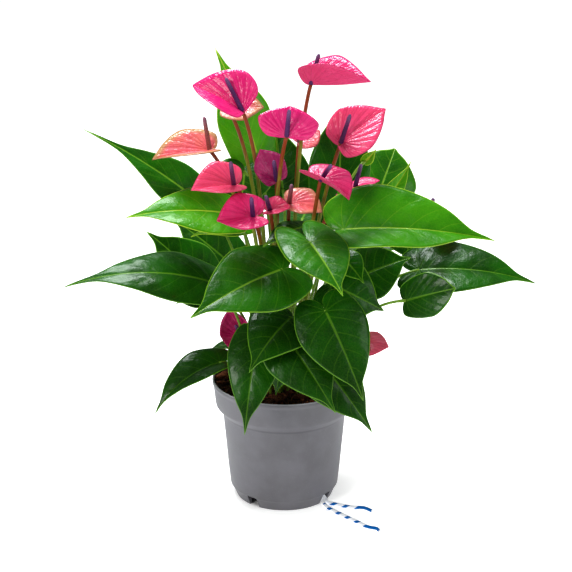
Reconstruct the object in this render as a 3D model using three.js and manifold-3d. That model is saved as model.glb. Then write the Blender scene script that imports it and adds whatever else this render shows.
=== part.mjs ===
import * as THREE from 'three';
import { mergeVertices } from 'three/addons/utils/BufferGeometryUtils.js';
import Module from 'manifold-3d';

// A flamingo flower plant in a nursery pot with a wick. Millimetres, z up, pot axis on z, floor at z 0.
// The front of the plant faces -y.

const wasm = await Module();
wasm.setup();

// Pot
const potHeight = 104;
const potSides = 32;
const footOutside = [[39.6, 0], [41, 0], [42.2, 3], [45.2, 9]];
const bodyOutside = [[51.6, 74], [52.5, 76], [57.3, 82], [60, potHeight]];
const rimInside = [[58.8, potHeight], [56.1, 82.6], [51.3, 76.6], [50.4, 74.3]];
const floorInside = [[44.1, 9.6], [42.4, 7.8], [0, 7.8]];
const floorUnder = [[0, 6.4], [38.6, 6.4]];
const drainTurns = [53, 143, 233, 323];
const drainWidth = 9.6;
const drainTop = 10;
const drainInner = 34;
const drainOuter = 50;

// Potting mix, a fit gap inside the pot
const fitGap = 0.3;
const mixTop = 100;
const mixFlat = 34;
const mixOutline = [[41.5, 8.1], [43.7, 9.9], [50.1, 74.4], [50.9, 76.7], [55.8, 82.9],
  [57.3, 94.5], [54, 96]];

// Wick
const wickDiameter = 3;
const wickRise = 40;
const wickSteps = 16;
const wickLoop = [[20, -9], [23, -13]];
const wickMouths = [[35.6, -25.2], [33.2, -28.4]];
const wickLie = wickDiameter / 2 + 0.1;
const wickFirstEnd = [[37.6, -29.6], [46.6, -34.2], [56.6, -38.2], [66.6, -39.3], [73, -45]];
const wickSecondEnd = [
  [33.9, -33], [38.2, -40.8], [46.2, -49.9], [54.1, -58.1], [61.3, -65.5], [68.3, -73],
  [75.2, -76], [77.3, -80.2],
];

// Plant
const petioleRadius = 1.4;
const stalkRadius = 1.6;
const stemSides = 5;
const stemSteps = 6;
const spadixRadius = 2;
const spadixSides = 7;
const spadixOutline = [[0, 0], [1, 0], [1, 0.5], [0.8, 0.92], [0, 1]];
const bladeThickness = 0.9;
const bladeSteps = 2;
const smallHalf = 24;
const leafShape = {
  lobe: 0.2, wide: 0.18, taper: 0.3, notch: 0.04, arch: 30, fold: 10, curl: 20, bow: 0, wave: 0.012,
  ripples: 2.5,
};
const spatheShape = {
  lobe: 0.2, wide: 0.35, taper: 0.1, notch: 0.05, arch: 10, fold: 20, curl: 15, bow: 0, wave: 0.008,
  ripples: 2,
};

// Each leaf: where the petiole leaves the mix, the joint with the blade, the blade's tip, half its width,
// and the way its upper face looks. Turns are in degrees over the whole blade.
const leaves = [
  { root: [-1, -22], joint: [-2, -62, 219], tip: [-71, -112, 197],
    half: 34, faces: [-0.3, -0.8, 0.65], fold: 8, wide: 0.22 },
  { root: [5, -20], joint: [20, -72, 244], tip: [44, -118, 217],
    half: 26, faces: [0.35, -0.85, 0.4], arch: 20, lobe: 0.5 },
  { root: [12, -15], joint: [47, -38, 244], tip: [164, -54, 240],
    half: 37, faces: [-0.08, -0.5, 0.9], arch: 25, fold: 30, curl: 15, lobe: 0.14, wide: 0.22 },
  { root: [26, 4], joint: [111, 5, 196], tip: [205, -8, 189],
    half: 31, faces: [0.1, -0.5, 0.9], arch: 35, fold: 18, curl: 30, lobe: 0.17 },
  { root: [25, -10], joint: [97, -44, 187], tip: [134, -60, 203],
    half: 18, faces: [-0.25, -0.85, 0.45], arch: 20, fold: 8, curl: 15, lobe: 0.1, wide: 0.5,
    taper: 0.02, notch: 0.02 },
  { root: [-27, -6], joint: [-58, -15, 192], tip: [-176, -38, 196],
    half: 29, faces: [0, -0.45, 0.88], arch: 52, fold: 4, taper: 0.45 },
  { root: [-12, 5], joint: [-42, -16, 250], tip: [-124, -38, 254],
    half: 28, faces: [0, -0.45, 0.9], fold: 12, lobe: 0.12 },
  { root: [-20, -4], joint: [-65, 15, 248], tip: [-161, 15, 312],
    half: 22, faces: [0.15, -0.55, 0.75], arch: 22, fold: 12, taper: 0.6 },
  { root: [-6, 15], joint: [-33, 45, 269], tip: [-37, 28, 236],
    half: 24, faces: [0.1, -0.8, 0.5], arch: 45, lobe: 0.3 },
  { root: [-24, 9], joint: [-68, 20, 180], tip: [-114, 25, 223],
    half: 30, faces: [0.3, -0.6, 0.7], arch: 15, fold: 8 },
  { root: [-19, 17], joint: [-45, 55, 184], tip: [-97, 66, 223],
    half: 28, faces: [0.3, -0.6, 0.7], arch: 15, fold: 8 },
  { root: [-5, 8], joint: [-23, 67, 278], tip: [-57, 67, 368],
    half: 25, faces: [0.4, -0.85, 0.2], arch: 28, fold: 2, lobe: 0.2, wide: 0.3, taper: 0.42 },
  { root: [19, 12], joint: [77, 75, 231], tip: [96, 110, 272],
    half: 30, faces: [0.1, -0.85, 0.5], arch: 20, fold: 5, curl: 30, lobe: 0.1, wide: 0.5, taper: 0.05 },
  { root: [3, -27], joint: [5, -62, 179], tip: [-27, -100, 148],
    half: 28, faces: [-0.25, -0.75, 0.7], arch: 40, fold: 14, curl: 25, lobe: 0.12 },
  { root: [-11, -26], joint: [-21, -56, 162], tip: [-31, -92, 92],
    half: 22, faces: [-0.1, -0.95, 0.3], arch: 40, fold: 8, curl: 30, lobe: 0.12 },
  { root: [11, -22], joint: [32, -80, 191], tip: [61, -108, 128],
    half: 29, faces: [0.15, -0.85, 0.5], fold: 5, curl: 25 },
  { root: [-4, -28], joint: [2, -72, 166], tip: [40, -102, 115],
    half: 27, faces: [0.05, -0.85, 0.6], arch: 35, fold: 8, curl: 30, lobe: 0.12 },
  { root: [10, -28], joint: [22, -56, 148], tip: [70, -78, 88],
    half: 27, faces: [0.25, -0.8, 0.5], arch: 25, fold: 5, curl: 25, lobe: 0.12 },
  { root: [-25, -14], joint: [-53, -30, 128], tip: [-104, -55, 94], lean: [0.03, 0.6, 0.5, 1],
    half: 20, faces: [-0.2, -0.3, 0.92], arch: 60, fold: 28, curl: 25 },
  { root: [19, -13], joint: [38, -41, 199], tip: [80, -38, 176],
    half: 29, faces: [0.1, -0.85, 0.5], arch: 25, fold: 5, curl: 25 },
  { root: [20, -4], joint: [64, 0, 193], tip: [104, 5, 207],
    half: 24, faces: [0, -0.8, 0.6], curl: 25 },
  { root: [11, 15], joint: [44, 40, 233], tip: [48, 58, 320],
    half: 26, faces: [0.1, -0.9, 0.3], arch: 15, fold: 8, wide: 0.45, taper: 0.06 },
  { root: [3, 11], joint: [-1, 78, 244], tip: [-8, 92, 303],
    half: 26, faces: [-0.1, -0.9, 0.3], arch: 20 },
  { root: [19, 20], joint: [62, 70, 190], tip: [128, 100, 178],
    half: 31, faces: [0.15, 0.3, 0.9] },
  { root: [2, 19], joint: [16, 92, 214], tip: [28, 165, 196],
    half: 31, faces: [0.1, 0.4, 0.9], arch: 40 },
  { root: [-12, 21], joint: [-42, 88, 168], tip: [-92, 140, 152],
    half: 30, faces: [-0.3, 0.4, 0.9], arch: 40 },
  { root: [10, 23], joint: [30, 62, 150], tip: [66, 124, 118],
    half: 28, faces: [0.2, 0.5, 0.8], arch: 40 },
];

// Each flower: as a leaf, with the spadix tip and, where it differs, the way the stalk leans.
// These have the spathe as a piece of its own.
const openFlowers = [
  { root: [-12, -2], joint: [-32, -30, 337], tip: [-71, -14, 354], spadix: [-45, -24, 362],
    half: 28, faces: [0.15, -0.57, 0.82], arch: 22, fold: 33, curl: 0, lobe: 0.05, wide: 0.28,
    taper: 0.06, notch: 0.03, wave: 0.02 },
  { root: [5, -3], joint: [21, -5, 353], tip: [67, -24, 359], spadix: [27, -11, 378],
    half: 26, faces: [0, 0, 1], arch: -10, fold: 60, curl: 20, lobe: 0.16, wide: 0.32, taper: 0.12 },
  { root: [11, -2], joint: [45, -2, 305], tip: [81, 10, 330], spadix: [52, -10, 330],
    lean: [0.1, 0.4, 0.5, 0.75], half: 22, faces: [-0.05, -0.75, 0.65], arch: 20, fold: 10, curl: -5,
    lobe: 0.1, wide: 0.32, taper: 0.12 },
  { root: [-11, -8], joint: [2, -45, 321], tip: [5, -38, 343], spadix: [4, -54, 344],
    half: 23.5, faces: [0, -0.9, 0.4], arch: 40, fold: 5, curl: 10, lobe: 0.06, wide: 0.5, taper: 0.03,
    notch: 0.03 },
  { root: [-5, -9], joint: [-6, -20, 279], tip: [-19, -14, 303], spadix: [-8, -34, 299],
    half: 14, faces: [0.1, -0.85, 0.3], arch: 0, curl: -10, lobe: 0.06, wide: 0.5, taper: 0.12, notch: 0.03 },
  { root: [7, -10], joint: [28, -45, 286], tip: [50, -58, 274], spadix: [36, -62, 303],
    lean: [0.2, 0.35, 0.7, 0.8], half: 20, faces: [0.25, -0.1, 1], arch: 25, fold: 38, lobe: 0.5,
    wide: 0.4, notch: 0.06 },
  { root: [-19, 4], joint: [-60, 14, 295], tip: [-106, 6, 289], spadix: [-64, 12, 323],
    half: 22, faces: [-0.02, -0.32, 0.9], arch: 12, fold: 35, lobe: 0.16 },
  { root: [-17, -14], joint: [-39, -40, 281], tip: [-72, -48, 279], spadix: [-41, -52, 303],
    lean: [0.02, 0.5, 0.1, 0.85],
    half: 21, faces: [-0.02, -0.42, 0.8], fold: 35, lobe: 0.22, wide: 0.33 },
  { root: [-11, -19], joint: [-24, -55, 260], tip: [-52, -60, 258], spadix: [-25, -64, 278],
    half: 20, faces: [-0.05, -0.5, 0.7], arch: 12, fold: 30, lobe: 0.35, wide: 0.33 },
  { root: [2, -15], joint: [4, -19, 260], tip: [30, -24, 254], spadix: [6, -31, 279],
    half: 17, faces: [0, -0.35, 0.85], arch: 20, fold: 30, curl: 20, lobe: 0.2, wide: 0.45, taper: 0.05 },
];

// Small, young or half-hidden flowers, each one grown piece
const smallFlowers = [
  { root: [7, 4], joint: [12, 12, 303], tip: [29, 22, 309], spadix: [12, 0, 320],
    half: 12, faces: [0.1, -0.5, 0.85], fold: 5, curl: 10, lobe: 0.15, wide: 0.4, taper: 0.05 },
  { root: [-5, -16], joint: [-11, -35, 259], tip: [5, -35, 261], spadix: [-14, -50, 275],
    half: 12, faces: [0, -0.35, 0.9], arch: 12, fold: 30, lobe: 0.35, wide: 0.4 },
  { root: [13, 8], joint: [58, 20, 263], tip: [78, 20, 268], spadix: [62, 8, 285],
    half: 10, faces: [-0.1, -0.2, 0.95], fold: 15, curl: 20 },
  { root: [19, 4], joint: [121, 25, 232], tip: [143, 28, 229], spadix: [121, 10, 256],
    half: 12, faces: [0, -0.2, 1], curl: 20 },
  { root: [14, -8], joint: [36, -12, 250], tip: [42, -12, 266], spadix: [43, -16, 266],
    half: 9, faces: [0.9, -0.2, 0.3], fold: 30, wide: 0.4 },
  { root: [-28, 2], joint: [-35, 2, 138], tip: [-46, -6, 165], spadix: [-40, -6, 152],
    half: 18, faces: [-0.2, -0.95, 0.2], arch: -30, fold: 10, curl: -60, lobe: 0.25, wide: 0.45 },
  { root: [26, -3], joint: [64, -10, 138], tip: [86, -15, 136], spadix: [66, -18, 157],
    half: 14, faces: [0, -0.4, 0.85], arch: 20, fold: 15, curl: 30, wide: 0.4 },
  { root: [-13, 10], joint: [-45, 10, 331], tip: [-16, 10, 331], spadix: [-46, 4, 354],
    half: 17, faces: [0, -0.5, 0.85], fold: 15, curl: 20, wide: 0.4 },
];

// Materials
const colours = {
  pot: { color: 0x6d6b70, roughness: 0.55 },
  mix: { color: 0x3a2a20, roughness: 0.95 },
  wick: { color: 0xe8ecf2, roughness: 0.85 },
  leaf: { color: 0x1f5a1c, roughness: 0.3 },
  stem: { color: 0x6f8430, roughness: 0.5 },
  spathe: { color: 0xd3266c, roughness: 0.3 },
  young: { color: 0x9c3a6c, roughness: 0.4 },
};
const paint = {};
for (const [name, look] of Object.entries(colours)) {
  paint[name] = new THREE.MeshStandardMaterial({ ...look, name, metalness: 0 });
}

const group = new THREE.Group();
group.name = 'potted_flamingo_flower';

// Turns a closed geometry into a solid that can be joined and cut
function toSolid(geometry) {
  const bare = geometry.clone();
  bare.deleteAttribute('normal');
  bare.deleteAttribute('uv');
  const welded = mergeVertices(bare, 1e-4);
  const index = welded.index.array;
  const corners = [];
  for (let i = 0; i < index.length; i += 3) {
    const [a, b, c] = [index[i], index[i + 1], index[i + 2]];
    if (a !== b && b !== c && c !== a) corners.push(a, b, c);
  }
  const vertProperties = new Float32Array(welded.attributes.position.array);
  const mesh = new wasm.Mesh({ numProp: 3, vertProperties, triVerts: new Uint32Array(corners) });
  return new wasm.Manifold(mesh);
}

function addPiece(name, solid, material) {
  const { vertProperties, triVerts } = solid.getMesh();
  const geometry = new THREE.BufferGeometry();
  geometry.setAttribute('position', new THREE.BufferAttribute(new Float32Array(vertProperties), 3));
  geometry.setIndex(new THREE.BufferAttribute(new Uint32Array(triVerts), 1));
  geometry.computeVertexNormals();
  const piece = new THREE.Mesh(geometry, material);
  piece.name = name;
  group.add(piece);
}

function turned(outline) {
  const points = outline.map(([radius, height]) => new THREE.Vector2(radius, height));
  points.push(points[0].clone());
  return toSolid(new THREE.LatheGeometry(points, potSides).rotateX(Math.PI / 2));
}

function vector([x, y, z]) {
  return new THREE.Vector3(x, y, z);
}

// A round bar along a curve, with flat ends
function bar(curve, radius, sides, steps) {
  const ring = [];
  for (let i = 0; i < sides; i += 1) {
    const turn = (2 * Math.PI * i) / sides;
    ring.push(new THREE.Vector2(radius * Math.cos(turn), radius * Math.sin(turn)));
  }
  const shape = new THREE.Shape(ring);
  return toSolid(new THREE.ExtrudeGeometry(shape, { steps, extrudePath: curve }));
}

function pot() {
  const outline = [...footOutside, ...bodyOutside, ...rimInside, ...floorInside, ...floorUnder];
  let solid = turned(outline);
  for (const turn of drainTurns) {
    const box = new THREE.BoxGeometry(drainOuter - drainInner, drainWidth, drainTop + 1);
    box.translate((drainOuter + drainInner) / 2, 0, (drainTop - 1) / 2);
    box.rotateZ(THREE.MathUtils.degToRad(turn - 90));
    solid = solid.subtract(toSolid(box));
  }
  addPiece('pot', solid, paint.pot);
}

// The hidden loop of the wick runs from one mouth of the drain up into the mix and back to the other
function wickCurve() {
  const inner = wickMouths.map(([x, y]) => new THREE.Vector3(x * 0.975, y * 0.975, wickLie + 1.2));
  const bend = wickLoop.map(([x, y]) => new THREE.Vector3(x, y, wickRise));
  return new THREE.CatmullRomCurve3([
    inner[0],
    new THREE.Vector3(29.5, -19.5, 9),
    bend[0],
    bend[1],
    new THREE.Vector3(26.8, -23.2, 9),
    inner[1],
  ]);
}

function potCore() {
  const wick = bar(wickCurve(), wickDiameter / 2, 8, wickSteps);
  const channel = bar(wickCurve(), wickDiameter / 2 + fitGap, 8, wickSteps);
  const mix = turned([[0, 8.1], ...mixOutline, [mixFlat, mixTop], [0, mixTop]]);
  addPiece('potting_mix', mix.subtract(channel), paint.mix);
  addPiece('wick_loop', wick, paint.wick);
}

function wickEnd(name, mouth, lie) {
  const start = new THREE.Vector3(mouth[0], mouth[1], wickLie + 0.9);
  const points = [start, ...lie.map(([x, y]) => new THREE.Vector3(x, y, wickLie))];
  addPiece(name, bar(new THREE.CatmullRomCurve3(points), wickDiameter / 2, 8, 2 * lie.length), paint.wick);
}

// Half of a heart-shaped outline of unit length, from the notch (t 0) by the back lobe to the tip (t 1)
function halfOutline(t, blade, width) {
  const { lobe, wide, taper, notch } = blade;
  const lobeEnd = 0.22;
  const widest = 0.5;
  const point = (x, y) => new THREE.Vector2(x, y * width);
  let spans = [point(-notch, 0), point(-notch - 0.35 * lobe, 0.01), point(-lobe, 0.12), point(-lobe, 0.5)];
  let part = t / lobeEnd;
  if (t >= widest) {
    const narrowing = 1 - taper * (1 - wide);
    spans = [point(wide, 1), point(wide + 0.33 * (1 - wide), 1), point(narrowing, 0.22), point(1, 0)];
    part = (t - widest) / (1 - widest);
  } else if (t >= lobeEnd) {
    spans = [point(-lobe, 0.5), point(-lobe, 0.82), point(wide - 0.3 * (wide + lobe), 1), point(wide, 1)];
    part = (t - lobeEnd) / (widest - lobeEnd);
  }
  return new THREE.CubicBezierCurve(...spans).getPoint(part);
}

// Where a walk of the given length ends when it starts at an angle and turns steadily (degrees per unit)
function bentWalk(length, start, turn) {
  const a = THREE.MathUtils.degToRad(start);
  const k = THREE.MathUtils.degToRad(Math.abs(turn) < 0.01 ? 0.01 : turn);
  return [(Math.sin(a) - Math.sin(a - k * length)) / k, (Math.cos(a - k * length) - Math.cos(a)) / k];
}

// A point of the blade: side 1 or -1, t along the outline, s from the midrib (0) to the margin (1)
function bladePoint(blade, width, side, t, s) {
  const margin = halfOutline(t, blade, width);
  const beyond = THREE.MathUtils.clamp((margin.x - blade.wide) / (1 - blade.wide), 0, 1);
  const rib = t > 0.5 ? beyond ** 1.2 : 0;
  const along = rib + (margin.x - rib) * s;
  const share = (margin.y * s) / width;
  const [across, lift] = bentWalk(share, blade.fold, blade.curl);
  const ripple = blade.wave * share * share * Math.sin(2 * Math.PI * blade.ripples * t + side);
  const [x, z] = bentWalk(along, 0, blade.arch);
  const slope = THREE.MathUtils.degToRad(-blade.arch * along);
  const height = lift * width + ripple;
  const sideways = side * across * width + 4 * blade.bow * along * (1 - along);
  return new THREE.Vector3(x - height * Math.sin(slope), sideways, z + height * Math.cos(slope));
}

// Carries blade points to their place on the plant
function bladePlace(blade) {
  const [reach, drop] = bentWalk(1, 0, blade.arch);
  const chord = vector(blade.tip).sub(vector(blade.joint));
  const length = chord.length() / Math.hypot(reach, drop);
  const ahead = chord.normalize();
  const up = vector(blade.faces);
  up.addScaledVector(ahead, -up.dot(ahead)).normalize();
  const sideways = new THREE.Vector3().crossVectors(up, ahead);
  const turn = new THREE.Matrix4().makeRotationY(Math.atan2(drop, reach));
  const place = new THREE.Matrix4().makeBasis(ahead, sideways, up);
  place.multiply(turn).scale(new THREE.Vector3(length, length, length));
  place.setPosition(vector(blade.joint));
  return { place, width: blade.half / length };
}

function bladeSolid(blade) {
  const { place, width } = bladePlace(blade);
  const rows = blade.half > smallHalf ? 9 : 7;
  const found = new Map();
  const points = [];
  const vertex = (side, row, step) => {
    const t = row / rows;
    let key = `${side} ${row} ${step}`;
    if (step === 0) key = t > 0.5 ? `rib ${row}` : 'joint';
    if (row === 0 && step > 0) key = `notch ${step}`;
    if (row === rows) key = 'tip';
    if (!found.has(key)) {
      found.set(key, points.length);
      points.push(bladePoint(blade, width, side, t, step / bladeSteps).applyMatrix4(place));
    }
    return found.get(key);
  };
  const faces = [];
  const rim = [];
  for (const side of [1, -1]) {
    for (let row = 0; row < rows; row += 1) {
      for (let step = 0; step < bladeSteps; step += 1) {
        const a = vertex(side, row, step);
        const b = vertex(side, row + 1, step);
        const c = vertex(side, row + 1, step + 1);
        const d = vertex(side, row, step + 1);
        faces.push(...(side > 0 ? [[a, b, c], [a, c, d]] : [[a, c, b], [a, d, c]]));
      }
      const near = vertex(side, row, bladeSteps);
      const far = vertex(side, row + 1, bladeSteps);
      rim.push(side > 0 ? [near, far] : [far, near]);
    }
  }
  return thickened(points, faces, rim);
}

// A closed solid of even thickness around a sheet
function thickened(points, faces, rim) {
  const normals = points.map(() => new THREE.Vector3());
  for (const face of faces) {
    const [a, b, c] = face.map((i) => points[i]);
    const normal = new THREE.Vector3().crossVectors(b.clone().sub(a), c.clone().sub(a));
    for (const i of face) normals[i].add(normal);
  }
  const count = points.length;
  const positions = [];
  for (const side of [0.5, -0.5]) {
    points.forEach((point, i) => {
      const moved = point.clone().addScaledVector(normals[i].normalize(), side * bladeThickness);
      positions.push(moved.x, moved.y, moved.z);
    });
  }
  const index = [];
  for (const [a, b, c] of faces) {
    index.push(a, b, c, a + count, c + count, b + count);
  }
  for (const [a, b] of rim) {
    index.push(a, b, b + count, a, b + count, a + count);
  }
  const geometry = new THREE.BufferGeometry();
  geometry.setAttribute('position', new THREE.Float32BufferAttribute(positions, 3));
  geometry.setIndex(index);
  return toSolid(geometry);
}

function stemCurve({ root, joint, lean = [0.1, 0.55, 0.62, 0.95] }) {
  const foot = new THREE.Vector3(root[0], root[1], mixTop + fitGap);
  const way = vector(joint).sub(foot);
  const [outFirst, upFirst, outLast, upLast] = lean;
  const first = foot.clone().add(new THREE.Vector3(way.x * outFirst, way.y * outFirst, way.z * upFirst));
  const last = foot.clone().add(new THREE.Vector3(way.x * outLast, way.y * outLast, way.z * upLast));
  return new THREE.CubicBezierCurve3(foot, first, last, vector(joint));
}

// Spadix: a blunt tapering finger from the joint to its tip
function spadixSolid(flower, extra) {
  const base = vector(flower.joint);
  const axis = vector(flower.spadix).sub(base);
  const length = axis.length() + extra;
  const radius = spadixRadius + extra;
  const outline = spadixOutline.map(([r, z]) => new THREE.Vector2(r * radius, z * length));
  const geometry = new THREE.LatheGeometry(outline, spadixSides);
  const turn = new THREE.Quaternion().setFromUnitVectors(new THREE.Vector3(0, 1, 0), axis.normalize());
  geometry.applyQuaternion(turn);
  geometry.translate(base.x, base.y, base.z);
  return toSolid(geometry);
}

const stalkLean = [0.05, 0.45, 0.35, 0.85];

function stalkSolid(flower, extra) {
  const curve = stemCurve({ ...flower, lean: flower.lean ?? stalkLean });
  const stalk = bar(curve, stalkRadius + extra, stemSides, stemSteps);
  return stalk.add(spadixSolid(flower, extra));
}

function number(index) {
  return String(index + 1).padStart(2, '0');
}

function plant() {
  leaves.forEach((entry, i) => {
    const leaf = { ...leafShape, ...entry };
    const petiole = bar(stemCurve(leaf), petioleRadius, stemSides, stemSteps);
    addPiece(`leaf_${number(i)}`, bladeSolid(leaf).add(petiole), paint.leaf);
  });
  openFlowers.forEach((entry, i) => {
    const flower = { ...spatheShape, ...entry };
    addPiece(`flower_stalk_${number(i)}`, stalkSolid(flower, 0), paint.stem);
    addPiece(`spathe_${number(i)}`, bladeSolid(flower).subtract(stalkSolid(flower, fitGap)), paint.spathe);
  });
  smallFlowers.forEach((entry, i) => {
    const flower = { ...spatheShape, ...entry };
    addPiece(`small_flower_${number(i)}`, bladeSolid(flower).add(stalkSolid(flower, 0)), paint.young);
  });
}

pot();
potCore();
wickEnd('wick_end_01', wickMouths[0], wickFirstEnd);
wickEnd('wick_end_02', wickMouths[1], wickSecondEnd);
plant();

export default group;
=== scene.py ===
# %% [markdown]
# # A potted flamingo flower
#
# This lesson dresses a measured model of a potted flamingo flower: a round grey nursery pot, dark
# potting mix, a striped wick that trails from the base, glossy heart-shaped leaves, and pink spathes
# that each carry a slender purple spadix. The measured model gives every piece its place, and the cells
# below grow a finely detailed piece over each one. All lengths in the tables are millimetres, because
# that is how a grower's pot is sized, and one factor turns them into Blender's metres.

# %% Load the measured model
import math

import bmesh
import bpy
import numpy as np
from mathutils import Matrix, Vector, noise


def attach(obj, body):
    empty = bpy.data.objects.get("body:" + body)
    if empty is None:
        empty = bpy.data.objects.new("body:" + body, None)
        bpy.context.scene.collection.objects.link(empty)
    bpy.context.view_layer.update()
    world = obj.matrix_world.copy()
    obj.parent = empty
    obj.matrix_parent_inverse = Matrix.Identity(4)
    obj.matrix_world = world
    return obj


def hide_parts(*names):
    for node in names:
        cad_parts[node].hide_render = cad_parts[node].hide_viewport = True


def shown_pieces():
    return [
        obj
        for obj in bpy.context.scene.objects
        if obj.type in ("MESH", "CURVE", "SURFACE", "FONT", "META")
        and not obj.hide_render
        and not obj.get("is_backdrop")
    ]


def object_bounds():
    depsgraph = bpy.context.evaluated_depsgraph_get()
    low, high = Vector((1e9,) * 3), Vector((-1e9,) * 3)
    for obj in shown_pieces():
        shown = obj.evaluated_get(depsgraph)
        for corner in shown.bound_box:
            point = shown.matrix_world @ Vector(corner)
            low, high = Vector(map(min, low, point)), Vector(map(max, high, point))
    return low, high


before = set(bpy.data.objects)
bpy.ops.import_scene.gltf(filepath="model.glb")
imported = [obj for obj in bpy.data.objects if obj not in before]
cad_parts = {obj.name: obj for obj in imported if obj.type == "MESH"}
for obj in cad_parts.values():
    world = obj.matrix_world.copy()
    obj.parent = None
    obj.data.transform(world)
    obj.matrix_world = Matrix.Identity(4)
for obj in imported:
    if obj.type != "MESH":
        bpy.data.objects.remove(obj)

MM = 0.001
measured_box = [list(corner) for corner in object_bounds()]
print("measured box in metres:", [[round(c, 4) for c in corner] for corner in measured_box])

# %% [markdown]
# ## The camera
#
# The plant is seen from the front and a little above. A long lens keeps the rim of the pot close to a
# flat ellipse. The camera looks at the middle of the plant. Its focal length is known in pixels of the
# picture, and the width of the sensor turns it into millimetres.

# %% Place the camera
sensor_width = 36
picture_side = 572
focus_in_pixels = 1600
camera_distance = 1313 * MM
camera_height_angle = math.radians(19.2)
plant_middle = Vector((1.5, 0, 184)) * MM

camera = bpy.data.objects.new("camera", bpy.data.cameras.new("camera"))
bpy.context.collection.objects.link(camera)
bpy.context.scene.camera = camera
camera.data.sensor_width = sensor_width
camera.data.lens = sensor_width * focus_in_pixels / picture_side
towards_camera = Vector((0, -math.cos(camera_height_angle), math.sin(camera_height_angle)))
camera.location = plant_middle + towards_camera * camera_distance
camera.rotation_euler = (math.pi / 2 - camera_height_angle, 0, 0)
camera.data.clip_start = 0.05
camera.data.clip_end = 50
print("lens in millimetres:", round(camera.data.lens, 1))

# %% [markdown]
# ## Helpers for meshes
#
# Plants are sheets and rods. Both are easiest to write as grids of points, so one helper turns arrays
# into a Blender object, stores any number per point that the materials want, and hides the parts of the
# measured model that the piece stands for. Points that fall on each other are welded first, so that a
# grid can close on itself.

# %% Turn points and faces into a piece
def add_numbers(mesh, numbers):
    for name, values in numbers.items():
        layer = mesh.attributes.new(name, "FLOAT", "POINT")
        layer.data.foreach_set("value", np.asarray(values, np.float32))


def make_piece(name, points, faces, materials, stands_for=(), numbers=None, kinds=None):
    """A smooth piece; kinds says for each face which of the materials it takes."""
    mesh = bpy.data.meshes.new(name)
    mesh.from_pydata([tuple(p) for p in np.asarray(points) * MM], [], [tuple(map(int, f)) for f in faces])
    for material in materials:
        mesh.materials.append(material)
    if kinds is not None:
        mesh.polygons.foreach_set("material_index", np.asarray(kinds, np.int32))
    mesh.polygons.foreach_set("use_smooth", [True] * len(mesh.polygons))
    add_numbers(mesh, numbers or {})
    mesh.update()
    piece = bpy.data.objects.new(name, mesh)
    bpy.context.collection.objects.link(piece)
    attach(piece, "root")
    if stands_for:
        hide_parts(*stands_for)
    return piece

# %% Weld points and measure normals
def welded(points, faces, numbers):
    """Merges equal points, and drops the faces that this leaves without an area."""
    keys = np.round(points, 4)
    _, first, where = np.unique(keys, axis=0, return_index=True, return_inverse=True)
    where = where.ravel()
    kept = []
    for face in faces:
        ring = []
        for corner in (where[i] for i in face):
            if corner not in ring:
                ring.append(corner)
        if len(ring) > 2:
            kept.append(ring)
    return points[first], kept, {name: values[first] for name, values in numbers.items()}


def point_normals(points, faces):
    normals = np.zeros_like(points)
    for face in faces:
        corners = points[face]
        normal = np.cross(corners[1] - corners[0], corners[2] - corners[0])
        if len(face) == 4:
            normal += np.cross(corners[2] - corners[0], corners[3] - corners[0])
        normals[face] += normal
    lengths = np.linalg.norm(normals, axis=1, keepdims=True)
    return normals / np.maximum(lengths, 1e-9)


def grid_faces(rows, columns, around=False):
    """Quads of a grid of points; with around, the last column joins the first."""
    faces = []
    for r in range(rows - 1):
        for c in range(columns if around else columns - 1):
            d = (c + 1) % columns
            faces.append([r * columns + c, r * columns + d, (r + 1) * columns + d, (r + 1) * columns + c])
    return faces

# %% [markdown]
# A stalk, a spadix and a wick are all rods that follow a path. The frame that carries the round section
# along the path is turned as little as possible from point to point, so the rod doesn't twist.

# %% Sweep a round section along a path
def rod(path, radii, sides, bumps=None):
    """Points, faces and numbers of a closed rod: share and millimetres of its length, and turn round it."""
    path = np.asarray(path, float)
    ahead = np.gradient(path, axis=0)
    ahead /= np.linalg.norm(ahead, axis=1, keepdims=True)
    start = np.cross(ahead[0], (0.3, 1, 0.2))
    right = [start / np.linalg.norm(start)]
    for direction in ahead[1:]:
        turned = right[-1] - direction * (right[-1] @ direction)
        right.append(turned / np.linalg.norm(turned))
    right = np.array(right)
    up = np.cross(ahead, right)
    turns = np.linspace(0, 2 * math.pi, sides, endpoint=False)
    steps = np.concatenate([[0], np.cumsum(np.linalg.norm(np.diff(path, axis=0), axis=1))])
    radius = np.repeat(np.asarray(radii, float)[:, None], sides, axis=1)
    if bumps is not None:
        radius = radius + bumps(steps[:, None], turns[None, :])
    ring = right[:, None] * np.cos(turns)[None, :, None] + up[:, None] * np.sin(turns)[None, :, None]
    points = (path[:, None] + ring * radius[:, :, None]).reshape(-1, 3)
    faces = grid_faces(len(path), sides, around=True)
    last = (len(path) - 1) * sides
    faces.append(list(range(sides))[::-1])
    faces.append([last + i for i in range(sides)])
    numbers = {
        "along": np.repeat(steps / steps[-1], sides),
        "along_mm": np.repeat(steps, sides),
        "turn": np.tile(turns, len(path)),
    }
    return points, faces, numbers

# %% Draw a smooth path through points
def smooth_path(points, count):
    """A smooth line through all the points, with evenly spaced samples."""
    points = np.asarray(points, float)
    padded = np.vstack([2 * points[0] - points[1], points, 2 * points[-1] - points[-2]])
    dense = []
    for a, b, c, d in zip(padded, padded[1:], padded[2:], padded[3:]):
        for u in np.linspace(0, 1, 24, endpoint=False):
            dense.append(0.5 * (2 * b + (c - a) * u + (2 * a - 5 * b + 4 * c - d) * u**2
                                + (3 * b - a - 3 * c + d) * u**3))
    dense = np.array(dense + [points[-1]])
    steps = np.concatenate([[0], np.cumsum(np.linalg.norm(np.diff(dense, axis=0), axis=1))])
    wanted = np.linspace(0, steps[-1], count)
    return np.stack([np.interp(wanted, steps, dense[:, i]) for i in range(3)], axis=1)

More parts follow.
